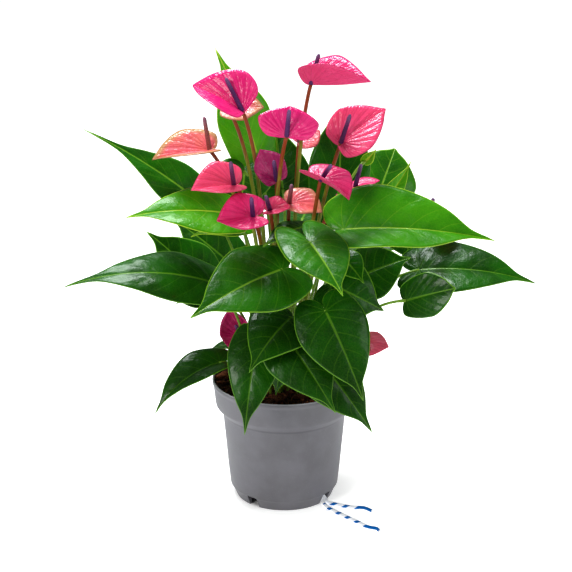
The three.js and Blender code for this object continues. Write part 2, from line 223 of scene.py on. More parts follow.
# %% [markdown]
# ## Helpers for materials
#
# Every finish is a Principled shader fed by a few small nodes. Written out node by node, a finish would
# hide its idea in wiring, so short helpers carry the words of the trade: a cloud of soft noise, a fade
# from one value to another, a blend of two colours, and plain arithmetic. Settings that are the same all
# over, such as the coat of a waxy leaf, go straight onto the shader.

# %% Make a material and wire its nodes
class Wiring:
    """A Principled material, with short ways to add nodes and arithmetic."""

    def __init__(self, name, **settings):
        self.material = bpy.data.materials.new(name)
        self.material.use_nodes = True
        self.nodes = self.material.node_tree.nodes
        self.links = self.material.node_tree.links
        self.shader = self.nodes["Principled BSDF"]
        for socket, value in settings.items():
            self.shader.inputs[socket.replace("_", " ")].default_value = value

    def node(self, kind, inputs=None, **settings):
        node = self.nodes.new("ShaderNode" + kind)
        for name, value in settings.items():
            setattr(node, name, value)
        for name, value in (inputs or {}).items():
            if isinstance(value, bpy.types.NodeSocket):
                self.links.new(value, node.inputs[name])
            else:
                node.inputs[name].default_value = value
        return node

    def number(self, name):
        return self.node("Attribute", attribute_name=name).outputs["Fac"]

    def reckon(self, operation, *values):
        return self.node("Math", dict(enumerate(values)), operation=operation).outputs[0]

    def times(self, first, second):
        return self.reckon("MULTIPLY", first, second)

    def plus(self, first, second):
        return self.reckon("ADD", first, second)

    def larger(self, first, second):
        return self.reckon("MAXIMUM", first, second)

    def place(self):
        """Where a point of the surface lies, in the object's own space."""
        return self.node("TexCoord").outputs["Object"]

    def height(self):
        return self.node("SeparateXYZ", {"Vector": self.place()}).outputs["Z"]

    def connect(self, **sockets):
        for name, source in sockets.items():
            self.links.new(source, self.shader.inputs[name.replace("_", " ")])
        print("finish", self.material.name, "has", len(self.nodes), "nodes")

# %% Fades, blends, clouds and relief
class Finish(Wiring):
    """The steps that the finishes of this plant are made of."""

    def fade(self, value, start, end, low=0.0, high=1.0):
        """Goes smoothly from low at start to high at end."""
        inputs = {"Value": value, "From Min": start, "From Max": end, "To Min": low, "To Max": high}
        return self.node("MapRange", inputs, interpolation_type="SMOOTHSTEP").outputs["Result"]

    def blend(self, amount, first, second, way="MIX"):
        node = self.node("Mix", data_type="RGBA", blend_type=way)
        for socket, value in ((node.inputs[0], amount), (node.inputs[6], first), (node.inputs[7], second)):
            if isinstance(value, bpy.types.NodeSocket):
                self.links.new(value, socket)
            else:
                socket.default_value = value
        return node.outputs[2]

    def cloud(self, scale, detail=2.0, stretch=None, roughness=0.5):
        """Soft noise in the object's own space; scale is in features per metre."""
        place = self.place()
        if stretch:
            place = self.node("Mapping", {"Vector": place, "Scale": stretch}).outputs[0]
        inputs = {"Vector": place, "Scale": scale, "Detail": detail, "Roughness": roughness}
        return self.node("TexNoise", inputs).outputs["Fac"]

    def raise_by(self, height, distance_mm, normal=None):
        """Relief on top of another relief, if one is given."""
        inputs = {"Height": height, "Strength": 1.0, "Distance": distance_mm * MM}
        if normal:
            inputs["Normal"] = normal
        return self.node("Bump", inputs).outputs[0]

# %% Colours as a screen shows them
def colour(red, green, blue):
    """A colour as a screen shows it, from 0 to 255, turned into the light that Blender counts with."""
    linear = [((c / 255 + 0.055) / 1.055) ** 2.4 if c > 10 else c / 255 / 12.92 for c in (red, green, blue)]
    return (*linear, 1.0)

# %% [markdown]
# ## The wick
#
# The pot stands on a surface with two ends of a capillary wick beside it: white braided cord, 3 mm thick,
# with one blue strand that winds round it and shows as slanted dashes. A cord that lies free keeps its
# real length, so its route is written as points on the floor and the rod follows them. The blue strand is
# a helix in the material: the angle round the cord plus a steady turn along it. Towards the cut end the
# helix stops turning, which leaves the last stretch solid blue on top. Two crossing waves stand for the
# braid, in the mesh and in the finish. White cord on a white floor easily looks grey, so the white
# strands give a little light of their own.

# %% Finish of the wick
white_start = (4, 5)
weave_along, weave_around = 5.2, 4
cotton = Finish("wick_cord", Roughness=0.85, Sheen_Weight=0.05, Specular_IOR_Level=0.15,
                Emission_Color=(1, 1, 1, 1))
strand = cotton.number("strand_turn")
stripe = cotton.times(cotton.fade(cotton.reckon("COSINE", strand), 0.3, 0.42),
                      cotton.fade(cotton.number("along_mm"), *white_start))
lengthwise = cotton.times(cotton.number("along_mm"), weave_along)
crosswise = cotton.times(cotton.number("turn"), weave_around)
weave = cotton.larger(cotton.reckon("SINE", cotton.plus(lengthwise, crosswise)),
                      cotton.reckon("SINE", cotton.reckon("SUBTRACT", lengthwise, crosswise)))
lint = cotton.cloud(2600, 3)
white = cotton.blend(cotton.fade(lint, 0.35, 0.7), colour(214, 220, 230), colour(250, 250, 253))
blue = cotton.blend(cotton.fade(lint, 0.3, 0.75), colour(0, 92, 168), colour(8, 122, 200))
cotton.connect(
    Base_Color=cotton.blend(stripe, white, blue),
    Emission_Strength=cotton.fade(stripe, 0, 1, 0.14, 0),
    Normal=cotton.raise_by(lint, 0.06, cotton.raise_by(weave, 0.12)),
)

# %% Routes of the two ends of the wick
wick_thickness = 3
wick_lie = wick_thickness / 2 + 0.1
wick_start_lift = 0.9
wick_ends = {
    "wick_end_01": [(35.6, -25.2), (37.6, -29.6), (46.6, -34.2), (56.6, -38.2), (66.6, -39.3), (73, -45)],
    "wick_end_02": [(33.2, -28.4), (33.9, -33), (38.2, -40.8), (46.2, -49.9), (54.1, -58.1), (61.3, -65.5),
                    (68.3, -73), (75.2, -76), (77.3, -80.2)],
}

# %% Lay the two ends of the wick
dash_spacing = 10.6
solid_blue_end = 13
cord_sides = 24
braid_relief = 0.07


def braid(along, turn):
    one_way = np.sin(weave_around * turn + weave_along * along)
    other_way = np.sin(weave_around * turn - weave_along * along)
    return braid_relief * np.maximum(one_way, other_way)


for name, lie in wick_ends.items():
    route = [(x, y, wick_lie) for x, y in lie]
    route[0] = (*lie[0], wick_lie + wick_start_lift)
    path = smooth_path(route, 150)
    radii = np.full(len(path), wick_thickness / 2 - braid_relief + 0.01)
    radii[-1] *= 0.8
    points, faces, numbers = rod(path, radii, cord_sides, braid)
    last_ring = points[-cord_sides:] - path[-1]
    top = numbers["turn"][-cord_sides:][np.argmax(last_ring @ towards_camera)]
    solid_from = numbers["along_mm"].max() - solid_blue_end
    wound = np.minimum(numbers["along_mm"], solid_from) - solid_from
    numbers["strand_turn"] = numbers["turn"] - top + 2 * math.pi * wound / dash_spacing
    cord = make_piece(name, points, faces, [cotton.material], [name], numbers)
    length = float(numbers["along_mm"].max()) * MM
    print(name, "is", round(length / MM, 1), "mm long")

loop_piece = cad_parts["wick_loop"]
loop_piece.data.materials.clear()
loop_piece.data.materials.append(cotton.material)

# %% [markdown]
# ## Floor and light
#
# A product picture has a white floor that runs out of sight. Plain white paper would turn grey round the
# pot, so the paper also glows a little, less near the pot, where its shadow belongs, and not at all under
# it, where a bright floor would show through the drain openings.

# %% Lay the floor
reach = 8.0
floor_corners = [(-reach, -reach, 0), (reach, -reach, 0), (reach, reach, 0), (-reach, reach, 0)]
floor_mesh = bpy.data.meshes.new("floor")
floor_mesh.from_pydata(floor_corners, [], [(0, 1, 2, 3)])
floor = bpy.data.objects.new("floor", floor_mesh)
bpy.context.collection.objects.link(floor)
paper = Finish("floor_paper", Roughness=0.9, Base_Color=(0.86, 0.86, 0.86, 1), Specular_IOR_Level=0.1,
               Emission_Color=(1, 1, 1, 1))
from_middle = paper.node("VectorMath", {0: paper.place()}, operation="LENGTH").outputs["Value"]
past_foot = paper.fade(from_middle, 37 * MM, 43 * MM)
glow = paper.fade(from_middle, 36 * MM, 75 * MM, 0.4, 0.62)
paper.connect(Emission_Strength=paper.times(past_foot, glow))
floor_mesh.materials.append(paper.material)
floor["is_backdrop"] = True
print("floor reaches", reach, "metres each way")

# %% [markdown]
# Light comes from all around. The sky gives the even part: it is nearly white where it is seen, and
# weaker as a light, so that the panels can still shape the plant. A large soft panel overhead draws the
# pale sheen on the waxy leaves, a smaller one at the front left rounds the spathes, and a tall one at the
# right lifts that side of the pot. The picture is shown plainly, with a little more contrast.

# %% Light the sky
bpy.context.scene.view_settings.view_transform = "Standard"
bpy.context.scene.view_settings.look = "Medium High Contrast"
sky_light, sky_seen = 0.24, 0.95
world = bpy.data.worlds.new("studio")
world.use_nodes = True
bpy.context.scene.world = world
sky = world.node_tree.nodes["Background"]
sky.inputs["Color"].default_value = (0.98, 0.99, 1.0, 1)
seen = world.node_tree.nodes.new("ShaderNodeLightPath")
strength = world.node_tree.nodes.new("ShaderNodeMapRange")
strength.inputs["To Min"].default_value = sky_light
strength.inputs["To Max"].default_value = sky_seen
world.node_tree.links.new(seen.outputs["Is Camera Ray"], strength.inputs["Value"])
world.node_tree.links.new(strength.outputs["Result"], sky.inputs["Strength"])
print("sky strength as a light and as seen:", sky_light, sky_seen)

# %% Hang the soft panels
def soft_panel(name, place, width, height, watts, tint):
    """A rectangular light that looks at the plant."""
    light = bpy.data.lights.new(name, "AREA")
    light.shape = "RECTANGLE"
    light.size, light.size_y = width, height
    light.energy = watts
    light.color = tint
    panel = bpy.data.objects.new(name, light)
    bpy.context.collection.objects.link(panel)
    panel.location = place
    panel.rotation_mode = "QUATERNION"
    panel.rotation_quaternion = (heart_of_plant - Vector(place)).to_track_quat("-Z", "Y")


heart_of_plant = Vector((0, 0, 200)) * MM
soft_panel("panel_above", (-0.25, 0.45, 1.5), width=0.7, height=0.45, watts=25.0, tint=(0.93, 0.97, 1.0))
soft_panel("panel_front", (-1.1, -1.3, 1.1), width=0.5, height=0.5, watts=12.0, tint=(1.0, 0.99, 0.97))
soft_panel("panel_right", (1.5, -0.7, 0.9), width=0.7, height=1.0, watts=7.0, tint=(0.97, 0.98, 1.0))

# %% [markdown]
# ## The pot
#
# A nursery pot is thin injection-moulded plastic: a straight cone, a step near the top so that pots can
# stack, a rolled lip, and a narrow foot cut by four drain openings. A turned profile gives all of it, with
# small extra points at each edge so that the light catches a rounded corner. The drain openings are then
# cut with boxes, which is simpler than modelling round them. The plastic has a faint cloudy bloom and
# fine specks. Its finish also paints shade that darkens the crease at the step, and paints a highlight
# that lightens the top of the lip.

# %% Profile of the pot, as distance from the middle and height
pot_profile = [
    (39.6, 0.2), (39.8, 0), (40.8, 0), (41.1, 0.3), (42.2, 3), (44.4, 8), (44.9, 9.1), (45.5, 9.6),
    (45.7, 10.4), (47.3, 26), (49.4, 50), (51.4, 72.8), (51.7, 74.6), (52.5, 76.1), (56.9, 81.2),
    (57.4, 82.1), (57.6, 83.2),
    (58.4, 90), (59.3, 98.2), (59.5, 99.6), (60.0, 100.4), (60.2, 101.4), (60.2, 102.8), (59.9, 103.7),
    (59.4, 104), (58.9, 103.7), (58.6, 103), (58.3, 99), (56.4, 84), (56, 82.6), (51.6, 77), (50.9, 75.6),
    (50.4, 73.6), (47.2, 40), (44.1, 9.6), (43.3, 8.2), (42.4, 7.8), (20, 7.8), (0, 7.8), (0, 6.4), (20, 6.4),
    (38.2, 6.4), (38.7, 6),
]

# %% Finish of the pot
step_height = 75.5 * MM
lip_height = 103 * MM
pot_plastic = Finish("pot_plastic", Roughness=0.5, Specular_IOR_Level=0.35)
bloom = pot_plastic.cloud(38, 4, roughness=0.6)
specks = pot_plastic.cloud(900, 2)
grey = pot_plastic.blend(pot_plastic.fade(bloom, 0.3, 0.7), colour(101, 100, 104), colour(111, 110, 115))
grey = pot_plastic.blend(pot_plastic.fade(specks, 0.62, 0.8, 0, 0.35), grey, colour(134, 132, 138))
height = pot_plastic.height()
from_step = pot_plastic.reckon("ABSOLUTE", pot_plastic.reckon("SUBTRACT", height, step_height))
# Painted shade: the crease under the step is darkened in the colour, where shade falls.
painted_crease_shade = pot_plastic.fade(from_step, 0.3 * MM, 1.8 * MM, 0.36, 0)
# Painted highlight: the top of the lip is lightened in the colour.
painted_lip_highlight = pot_plastic.fade(height, lip_height - 0.1 * MM, lip_height + 0.6 * MM, 0, 0.6)
grey = pot_plastic.blend(painted_crease_shade, grey, colour(62, 61, 65))
grey = pot_plastic.blend(painted_lip_highlight, grey, colour(186, 184, 190))
pot_plastic.connect(
    Base_Color=grey,
    Roughness=pot_plastic.fade(bloom, 0.3, 0.7, 0.44, 0.58),
    Normal=pot_plastic.raise_by(specks, 0.03, pot_plastic.raise_by(bloom, 0.15)),
)

# %% Turn the pot
pot_sides = 192
turns = np.linspace(0, 2 * math.pi, pot_sides, endpoint=False)
rings = [[(r * math.sin(a), -r * math.cos(a), z) for a in turns] for r, z in [*pot_profile, pot_profile[0]]]
ring_faces = grid_faces(len(rings), pot_sides, around=True)
pot_points, pot_faces, _ = welded(np.array(rings).reshape(-1, 3), ring_faces, {})
pot = make_piece("pot", pot_points, pot_faces, [pot_plastic.material], ["pot"])
print("pot faces before the cuts:", len(pot_faces))

# %% Cut the drain openings
drain_turns = (53, 143, 233, 323)
drain_width = 9.6
drain_top = 10
drain_corner = 1.6
foot_radius = 42
cut_depth = 16
cut_below_floor = 2
crease_angle = 40


def drain_cutter(turn):
    """A box across the foot ring, with its two top corners rounded."""
    cutter = bpy.data.objects.new("cutter", bpy.data.meshes.new("cutter"))
    bpy.context.collection.objects.link(cutter)
    shape = bmesh.new()
    bmesh.ops.create_cube(shape, size=1)
    size = Vector((drain_width, cut_depth, drain_top + cut_below_floor)) * MM
    middle = Vector((0, -foot_radius, (drain_top - cut_below_floor) / 2)) * MM
    bmesh.ops.scale(shape, vec=size, verts=shape.verts)
    bmesh.ops.translate(shape, vec=middle, verts=shape.verts)
    top_edges = [e for e in shape.edges if abs((e.verts[0].co - e.verts[1].co).y) > cut_depth / 2 * MM
                 and e.verts[0].co.z > drain_top / 2 * MM]
    bmesh.ops.bevel(shape, geom=top_edges, offset=drain_corner * MM, segments=4, affect="EDGES", profile=0.5)
    bmesh.ops.rotate(shape, matrix=Matrix.Rotation(math.radians(turn), 3, "Z"), verts=shape.verts)
    shape.to_mesh(cutter.data)
    shape.free()
    return cutter


for turn in drain_turns:
    cutter = drain_cutter(turn)
    cut = pot.modifiers.new("cut", "BOOLEAN")
    cut.object = cutter
    cut.operation = "DIFFERENCE"
    cut.solver = "EXACT"
    finished = bpy.data.meshes.new_from_object(pot.evaluated_get(bpy.context.evaluated_depsgraph_get()))
    pot.modifiers.clear()
    pot.data = finished
    bpy.data.objects.remove(cutter)
pot.data.polygons.foreach_set("use_smooth", [True] * len(pot.data.polygons))
pot.data.set_sharp_from_angle(angle=math.radians(crease_angle))
print("pot faces:", len(pot.data.polygons))

# %% [markdown]
# ## The potting mix
#
# Potting mix for aroids is dark peat with reddish bark chips and coconut fibre. A flat brown disc with
# noise would look like felt, so the surface is a bumpy disc with real lumps, flat bark chips and thin
# curling fibres scattered over it. A seeded random generator places them, so every run makes the same
# surface. They are joined into one mesh, because the mix is one piece. Each part keeps a tone, from 0 for
# dark peat to 1 for red bark.

# %% Finish of the mix
peat = Finish("potting_mix", Roughness=0.92, Specular_IOR_Level=0.25)
tone = peat.number("tone")
crumbs = peat.cloud(700, 4, roughness=0.65)
dark = peat.blend(peat.fade(crumbs, 0.3, 0.7), colour(26, 15, 11), colour(62, 39, 28))
bark = peat.blend(peat.fade(crumbs, 0.3, 0.7), colour(84, 40, 24), colour(140, 84, 55))
peat.connect(Base_Color=peat.blend(tone, dark, bark), Normal=peat.raise_by(crumbs, 0.5))

# %% Height of the mix
mix_middle_height = 100.2
flat_radius, pot_inside = 30, 58
edge_drop = 4.4
heap_height = 3.2
mix_edge = 57.6


def mix_height(x, y):
    """The mix sinks towards the wall of the pot and is heaped up a little at the back left."""
    radius = math.hypot(x, y)
    towards_wall = max(0.0, (radius - flat_radius) / (pot_inside - flat_radius))
    bowl = mix_middle_height - edge_drop * towards_wall**1.6
    heap = heap_height * max(0.0, (-x * 0.8 + y * 0.45) / pot_inside)
    waves = 1.6 * noise.noise(Vector((x, y, 0)) / 9)
    crumbles = 0.7 * noise.noise(Vector((x, y, 5)) / 3)
    return bowl + heap + waves + crumbles


print("mix height in the middle and at the back wall:",
      round(mix_height(0, 0), 1), round(mix_height(0, mix_edge), 1))

# %% Gather the parts of the mix in one mesh
mix_points, mix_faces, mix_tones = [], [], []


def add_to_mix(points, faces, tone_value):
    start = len(mix_points)
    mix_points.extend(points)
    mix_faces.extend([[start + i for i in face] for face in faces])
    mix_tones.extend([tone_value] * len(points))

# %% Lay the surface, and close it underneath
mix_rings, mix_sides = 56, 120
underside_height, underside_share = 80.0, 0.93
peat_tone = 0.08

disc = [(0.0, 0.0, mix_height(0, 0))]
for ring in range(1, mix_rings + 1):
    for side in range(mix_sides):
        radius, angle = mix_edge * ring / mix_rings, 2 * math.pi * side / mix_sides
        x, y = radius * math.sin(angle), -radius * math.cos(angle)
        disc.append((x, y, mix_height(x, y)))
disc_faces = [[0, 1 + (s + 1) % mix_sides, 1 + s][::-1] for s in range(mix_sides)]
disc_faces += [[1 + i for i in face][::-1] for face in grid_faces(mix_rings, mix_sides, around=True)]
rim_ring = 1 + (mix_rings - 1) * mix_sides
skirt = [(x * underside_share, y * underside_share, underside_height) for x, y, z in disc[rim_ring:]]
bottom = len(disc)
disc_faces += [[rim_ring + s, bottom + s, bottom + (s + 1) % mix_sides, rim_ring + (s + 1) % mix_sides]
               for s in range(mix_sides)]
disc_faces.append([bottom + s for s in range(mix_sides)][::-1])
add_to_mix(disc + skirt, disc_faces, peat_tone)
print("surface of the mix:", len(disc_faces), "faces")

# %% Shape a lump
rng = np.random.default_rng(11)
lump_sphere = bmesh.new()
bmesh.ops.create_icosphere(lump_sphere, subdivisions=1, radius=1)
lump_points = [v.co.copy() for v in lump_sphere.verts]
lump_faces = [[v.index for v in f.verts] for f in lump_sphere.faces]
lump_sphere.free()
full_turn = 6.28


def scattered(count, outer):
    for _ in range(count):
        radius = outer * math.sqrt(rng.random())
        angle = rng.random() * 2 * math.pi
        yield radius * math.sin(angle), -radius * math.cos(angle)


def add_lump(x, y, size, flat, tone_value, lift=0.2):
    """A small ball that is turned, stretched and roughened; a flat one is a chip of bark."""
    spin = Matrix.Rotation(rng.random() * full_turn, 3, "Z")
    turn = spin @ Matrix.Rotation((rng.random() - 0.5) * 1.4, 3, "X")
    stretch = np.array([1 + rng.random() * 0.8, 0.7 + rng.random() * 0.5, flat])
    middle = Vector((x, y, mix_height(x, y) + lift * size))
    made = []
    for point in lump_points:
        rough = 1 + 0.35 * (rng.random() - 0.5)
        made.append(tuple(middle + turn @ Vector(np.array(point) * stretch * size * rough)))
    add_to_mix(made, lump_faces, tone_value)

# %% Scatter lumps of peat and chips of bark
lump_count, chip_count = 1100, 260
big_chips = ((-54, 4), (-52.5, -6), (-51, 12), (30, -45), (-18, -50))
for x, y in scattered(lump_count, 56):
    add_lump(x, y, 0.7 + 1.1 * rng.random() ** 2, 0.75, 0.5 * rng.random() ** 2)
for x, y in scattered(chip_count, 54.5):
    add_lump(x, y, 1.6 + 2.6 * rng.random() ** 2, 0.4, 0.35 + 0.65 * rng.random(), 0.45)
for x, y in big_chips:
    add_lump(x, y, 3.4, 0.5, 0.9, 0.6)
print("lumps and chips:", lump_count + chip_count + len(big_chips))

# %% Scatter the fibres
fibre_count = 420
fibre_radius = 0.26
fibre_points = 7
for x, y in scattered(fibre_count, 55):
    heading = rng.random() * full_turn
    curl = (rng.random() - 0.5) * 0.9
    step = 0.9 + rng.random() * 1.3
    fibre_path = []
    for i in range(fibre_points):
        if math.hypot(x, y) > mix_edge - 1.1:
            break
        rise = 1.6 * math.sin(math.pi * i / (fibre_points - 1)) * rng.random()
        fibre_path.append((x, y, mix_height(x, y) + 0.5 + rise))
        heading += curl + (rng.random() - 0.5) * 0.5
        x, y = x + step * math.cos(heading), y + step * math.sin(heading)
    if len(fibre_path) > 3:
        points, faces, _ = rod(fibre_path, [fibre_radius] * len(fibre_path), 4)
        add_to_mix([tuple(p) for p in points], faces, 0.25 + 0.6 * rng.random())

mix = make_piece("potting_mix", mix_points, mix_faces, [peat.material], ["potting_mix"],
                 {"tone": mix_tones})
print("mix faces:", len(mix.data.polygons))

# %% [markdown]
# ## The shape of a blade
#
# A leaf of this plant and its pink spathe are the same thing to a botanist, so one function makes both.
# The outline of half a heart is three smooth curves, from the notch behind the stalk, round the back
# lobe, over the widest place and out to the tip. A flat point of the heart is then bent three ways: the
# whole blade arches along its midrib, each half rises from the midrib at an angle, and curls over
# towards its margin. Numbers for each blade say how much: lobe, wide, taper and notch shape the outline
# as shares of the length, arch, fold and curl are degrees, wave and ripples make the margin wavy, sag
# lets one margin hang, and drip draws the tip out into a fine point.

# %% Draw the outline of half a heart
blade_defaults = dict(lobe=0.2, wide=0.18, taper=0.3, notch=0.04, arch=30, fold=10, curl=20, wave=0.012,
                      ripples=2.5, sag=0, drip=0.38)
spathe_defaults = dict(lobe=0.2, wide=0.35, taper=0.1, notch=0.05, arch=10, fold=20, curl=15, wave=0.008,
                       ripples=2, sag=0, drip=0.12)
lobe_end, widest = 0.22, 0.5


def bezier(a, b, c, d, u):
    u = np.asarray(u)[..., None]
    return (1 - u) ** 3 * a + 3 * u * (1 - u) ** 2 * b + 3 * u**2 * (1 - u) * c + u**3 * d


def half_outline(t, blade, width):
    """Flat outline of half a heart of unit length, from the notch (t 0) by the lobe to the tip (t 1)."""
    lobe, wide, taper, notch = (blade[k] for k in ("lobe", "wide", "taper", "notch"))
    spans = [
        [(-notch, 0), (-notch - 0.35 * lobe, 0.01), (-lobe, 0.12), (-lobe, 0.5)],
        [(-lobe, 0.5), (-lobe, 0.82), (wide - 0.3 * (wide + lobe), 1), (wide, 1)],
        [(wide, 1), (wide + 0.33 * (1 - wide), 1), (1 - taper * (1 - wide), 0.22), (1, 0)],
    ]
    spans = [np.array(span) * (1, width) for span in spans]
    parts = [t / lobe_end, (t - lobe_end) / (widest - lobe_end), (t - widest) / (1 - widest)]
    found = [bezier(*span, np.clip(part, 0, 1)) for span, part in zip(spans, parts)]
    early = np.where((t < lobe_end)[..., None], found[0], found[1])
    return np.where((t < widest)[..., None], early, found[2])

# %% Bend the flat heart and carry it onto its stalk
def bent_walk(length, start, turn):
    """Where a walk ends that starts at an angle and turns steadily, in degrees for a unit of length."""
    a = math.radians(start)
    k = math.radians(turn if abs(turn) >= 0.01 else 0.01)
    return (math.sin(a) - np.sin(a - k * length)) / k, (np.cos(a - k * length) - math.cos(a)) / k


def bend_blade(along, across, ripple, side, blade, width):
    out, lift = bent_walk(across / width, blade["fold"], blade["curl"])
    x, z = bent_walk(along, 0, blade["arch"])
    slope = np.radians(-blade["arch"] * along)
    height = lift * width + ripple
    sideways = side * out * width
    return np.stack([x - height * np.sin(slope), sideways, z + height * np.cos(slope)], axis=-1)


def blade_place(blade):
    """Turn and place that carry a blade of unit length onto its stalk, its length, and its half width."""
    reach_x, drop = bent_walk(1.0, 0, blade["arch"])
    joint, tip = np.array(blade["joint"], float), np.array(blade["tip"], float)
    chord = tip - joint
    length = np.linalg.norm(chord) / math.hypot(reach_x, drop)
    ahead = chord / np.linalg.norm(chord)
    up = np.array(blade["faces"], float)
    up -= ahead * (up @ ahead)
    up /= np.linalg.norm(up)
    basis = np.stack([ahead, np.cross(up, ahead), up], axis=1)
    pitch = math.atan2(drop, reach_x)
    cosine, sine = math.cos(pitch), math.sin(pitch)
    level = np.array([[cosine, 0, sine], [0, 1, 0], [-sine, 0, cosine]])
    return basis @ level * length, joint, length, blade["half"] / length

# %% [markdown]
# The veins decide where the points of the grid go. In a leaf, a few veins fan out from the stalk into
# the back lobes and the others leave the midrib one after another, and all bend forward near the margin.
# In a spathe all of them fan out from the stalk. So the rows of the grid run along the veins. More rows
# lie between two veins, gathered in the middle, where the surface swells a little as it does on the
# plant. Each point also keeps the numbers from which a finish works out how far it is from the nearest
# vein, the midrib and the margin.

# %% Place rows of points at the veins
def vein_rows(veins, between):
    """Row positions round the outline, and a count that is whole on each vein."""
    rows, counts = [0.0], [0.0]
    stops = [0.0, *veins, 1.0]
    for i, (low, high) in enumerate(zip(stops, stops[1:])):
        for j in range(1, between + 1):
            part = j / (between + 1)
            eased = part + 0.1 * math.sin(2 * math.pi * part)
            rows.append(low + (high - low) * eased)
            counts.append(i + eased)
        rows.append(high)
        counts.append(i + 1.0)
    return np.array(rows), np.array(counts)


def vein_starts(blade, rows, fan, width):
    """Where on the midrib, from 0 to 1, the line of each row starts; with fan 1 nearly all at the stalk."""
    outline = half_outline(rows, blade, width)[:, 0]
    beyond = np.clip((outline - blade["wide"]) / (1 - blade["wide"]), 0, 1)
    leaving = np.where(rows > widest, beyond**1.2, 0.0)
    fanning = np.where(rows > 0.85, ((rows - 0.85) / 0.15) ** 2 * 0.9, 0.0)
    starts = leaving * (1 - fan) + fan * fanning
    starts[-1] = 1.0
    return starts

# %% Lay out the sheet of a blade
tip_narrowing = (0.91, 0.07)
sagging_place = (0.76, 0.13)


def bump_at(t, middle, spread):
    return np.exp(-(((t - middle) / spread) ** 2))


def half_sheet(blade, side, rows, counts, s, forward, fan):
    """Points and numbers of one side; s goes from 0 at the midrib to 1 at the margin."""
    turn, joint, length, width = blade_place(blade)
    lean = 4 * rows * (1 - rows) * forward
    t = np.clip(rows[:, None] + lean[:, None] * (s**2)[None, :], 0, 1)
    margin = half_outline(t, blade, width)
    margin[..., 1] *= 1 - blade["drip"] * bump_at(t, *tip_narrowing)
    rib = vein_starts(blade, rows, fan, width)
    along = rib[:, None] + (margin[..., 0] - rib[:, None]) * s[None, :]
    across = margin[..., 1] * s[None, :]
    share = across / width
    ripple = blade["wave"] * share**2 * np.sin(2 * math.pi * blade["ripples"] * t + side)
    if side < 0:
        ripple = ripple - blade["sag"] * share * bump_at(t, *sagging_place)
    points = bend_blade(along, across, ripple, side, blade, width) @ turn.T + joint
    veins_a_row = np.maximum(np.abs(np.gradient(counts))[:, None], 1e-6)
    numbers = {
        "vein": np.broadcast_to(counts[:, None], t.shape),
        "vein_gap": np.linalg.norm(np.gradient(points, axis=0), axis=-1) / veins_a_row,
        "rib_mm": across * length,
        "edge_mm": np.linalg.norm(points[:, -1:] - points, axis=-1) * 0.8,
        "out": np.broadcast_to(s[None, :], t.shape),
        "tipward": np.clip(along, 0, 1),
    }
    return points.reshape(-1, 3), {name: values.reshape(-1) for name, values in numbers.items()}

# %% Let the surface swell between the veins
vein_room, edge_room, rib_room = 9, 6, 4


def swollen(points, faces, numbers, swell):
    """Raises the middle between two veins and adds a soft unevenness, which die out at midrib and margin."""
    normals = point_normals(points, faces)
    pulse = np.sin(math.pi * (numbers["vein"] % 1.0)) ** 0.7
    room = np.clip(numbers["vein_gap"] / vein_room, 0, 1) * np.clip(numbers["edge_mm"] / edge_room, 0, 1)
    room *= np.clip(numbers["rib_mm"] / rib_room, 0, 1)
    soft = np.array([noise.noise(Vector(p) / 14) + 0.5 * noise.noise(Vector(p) / 6) for p in points])
    return points + normals * (swell * pulse * room + 0.45 * swell * soft * room)[:, None]

# %% Join the two halves of the sheet
def blade_sheet(blade, veins, forward, fan, between, steps, swell):
    """The middle surface of a blade in millimetres, its faces and its numbers for the material."""
    rows, counts = vein_rows(veins, between)
    s = np.linspace(0, 1, steps + 1) ** 1.15
    halves = [half_sheet(blade, side, rows, counts, s, forward, fan) for side in (1, -1)]
    points = np.vstack([half_points for half_points, _ in halves])
    numbers = {name: np.concatenate([half[name] for _, half in halves]) for name in halves[0][1]}
    quads = grid_faces(len(rows), len(s))
    half_count = len(points) // 2
    faces = [face[::-1] for face in quads] + [[half_count + i for i in face] for face in quads]
    points, faces, numbers = welded(points, faces, numbers)
    return swollen(points, faces, numbers, swell), faces, numbers

# %% Give a sheet its thickness
rib_half_width = 1.1


def thick_blade(points, faces, numbers, thickness, rib_height):
    """A closed blade: upper side, underside with a raised midrib, and the margin between them."""
    normals = point_normals(points, faces)
    ridge = rib_height * bump_at(numbers["rib_mm"], 0, rib_half_width) * (1 - 0.85 * numbers["tipward"])
    upper = points + normals * (thickness / 2)
    lower = points - normals * (thickness / 2 + ridge)[:, None]
    count = len(points)
    edges = {}
    for face in faces:
        for a, b in zip(face, face[1:] + face[:1]):
            edges[(a, b)] = edges.get((a, b), 0) + 1
    rim = [(a, b) for (a, b) in edges if (b, a) not in edges]
    shell = [list(face) for face in faces]
    shell += [[i + count for i in face[::-1]] for face in faces]
    shell += [[b, a, a + count, b + count] for a, b in rim]
    kinds = [0] * len(faces) + [1] * len(faces) + [0] * len(rim)
    doubled = {k: np.concatenate([v, v]) for k, v in numbers.items()}
    return np.vstack([upper, lower]), shell, doubled, kinds

# %% [markdown]
# Stalks and petioles leave the mix close together and lean outwards. A smooth curve with two handles does
# it: the first handle lifts it nearly straight up, the second brings it in under the blade.

# %% Curve a stalk from the mix to its blade
mix_top = 100.3
petiole_lean = (0.1, 0.55, 0.62, 0.95)
stalk_lean = (0.05, 0.45, 0.35, 0.85)


def stem_path(plant_part, lean, count=26):
    """The lean says how far each handle lies on its way, out and up for the first, then for the last."""
    root, joint = plant_part["root"], np.array(plant_part["joint"], float)
    foot = np.array([root[0], root[1], mix_top - 3])
    way = joint - foot
    out_first, up_first, out_last, up_last = plant_part.get("lean", lean)
    first = foot + way * (out_first, out_first, up_first)
    last = foot + way * (out_last, out_last, up_last)
    return bezier(foot, first, last, joint, np.linspace(0, 1, count))


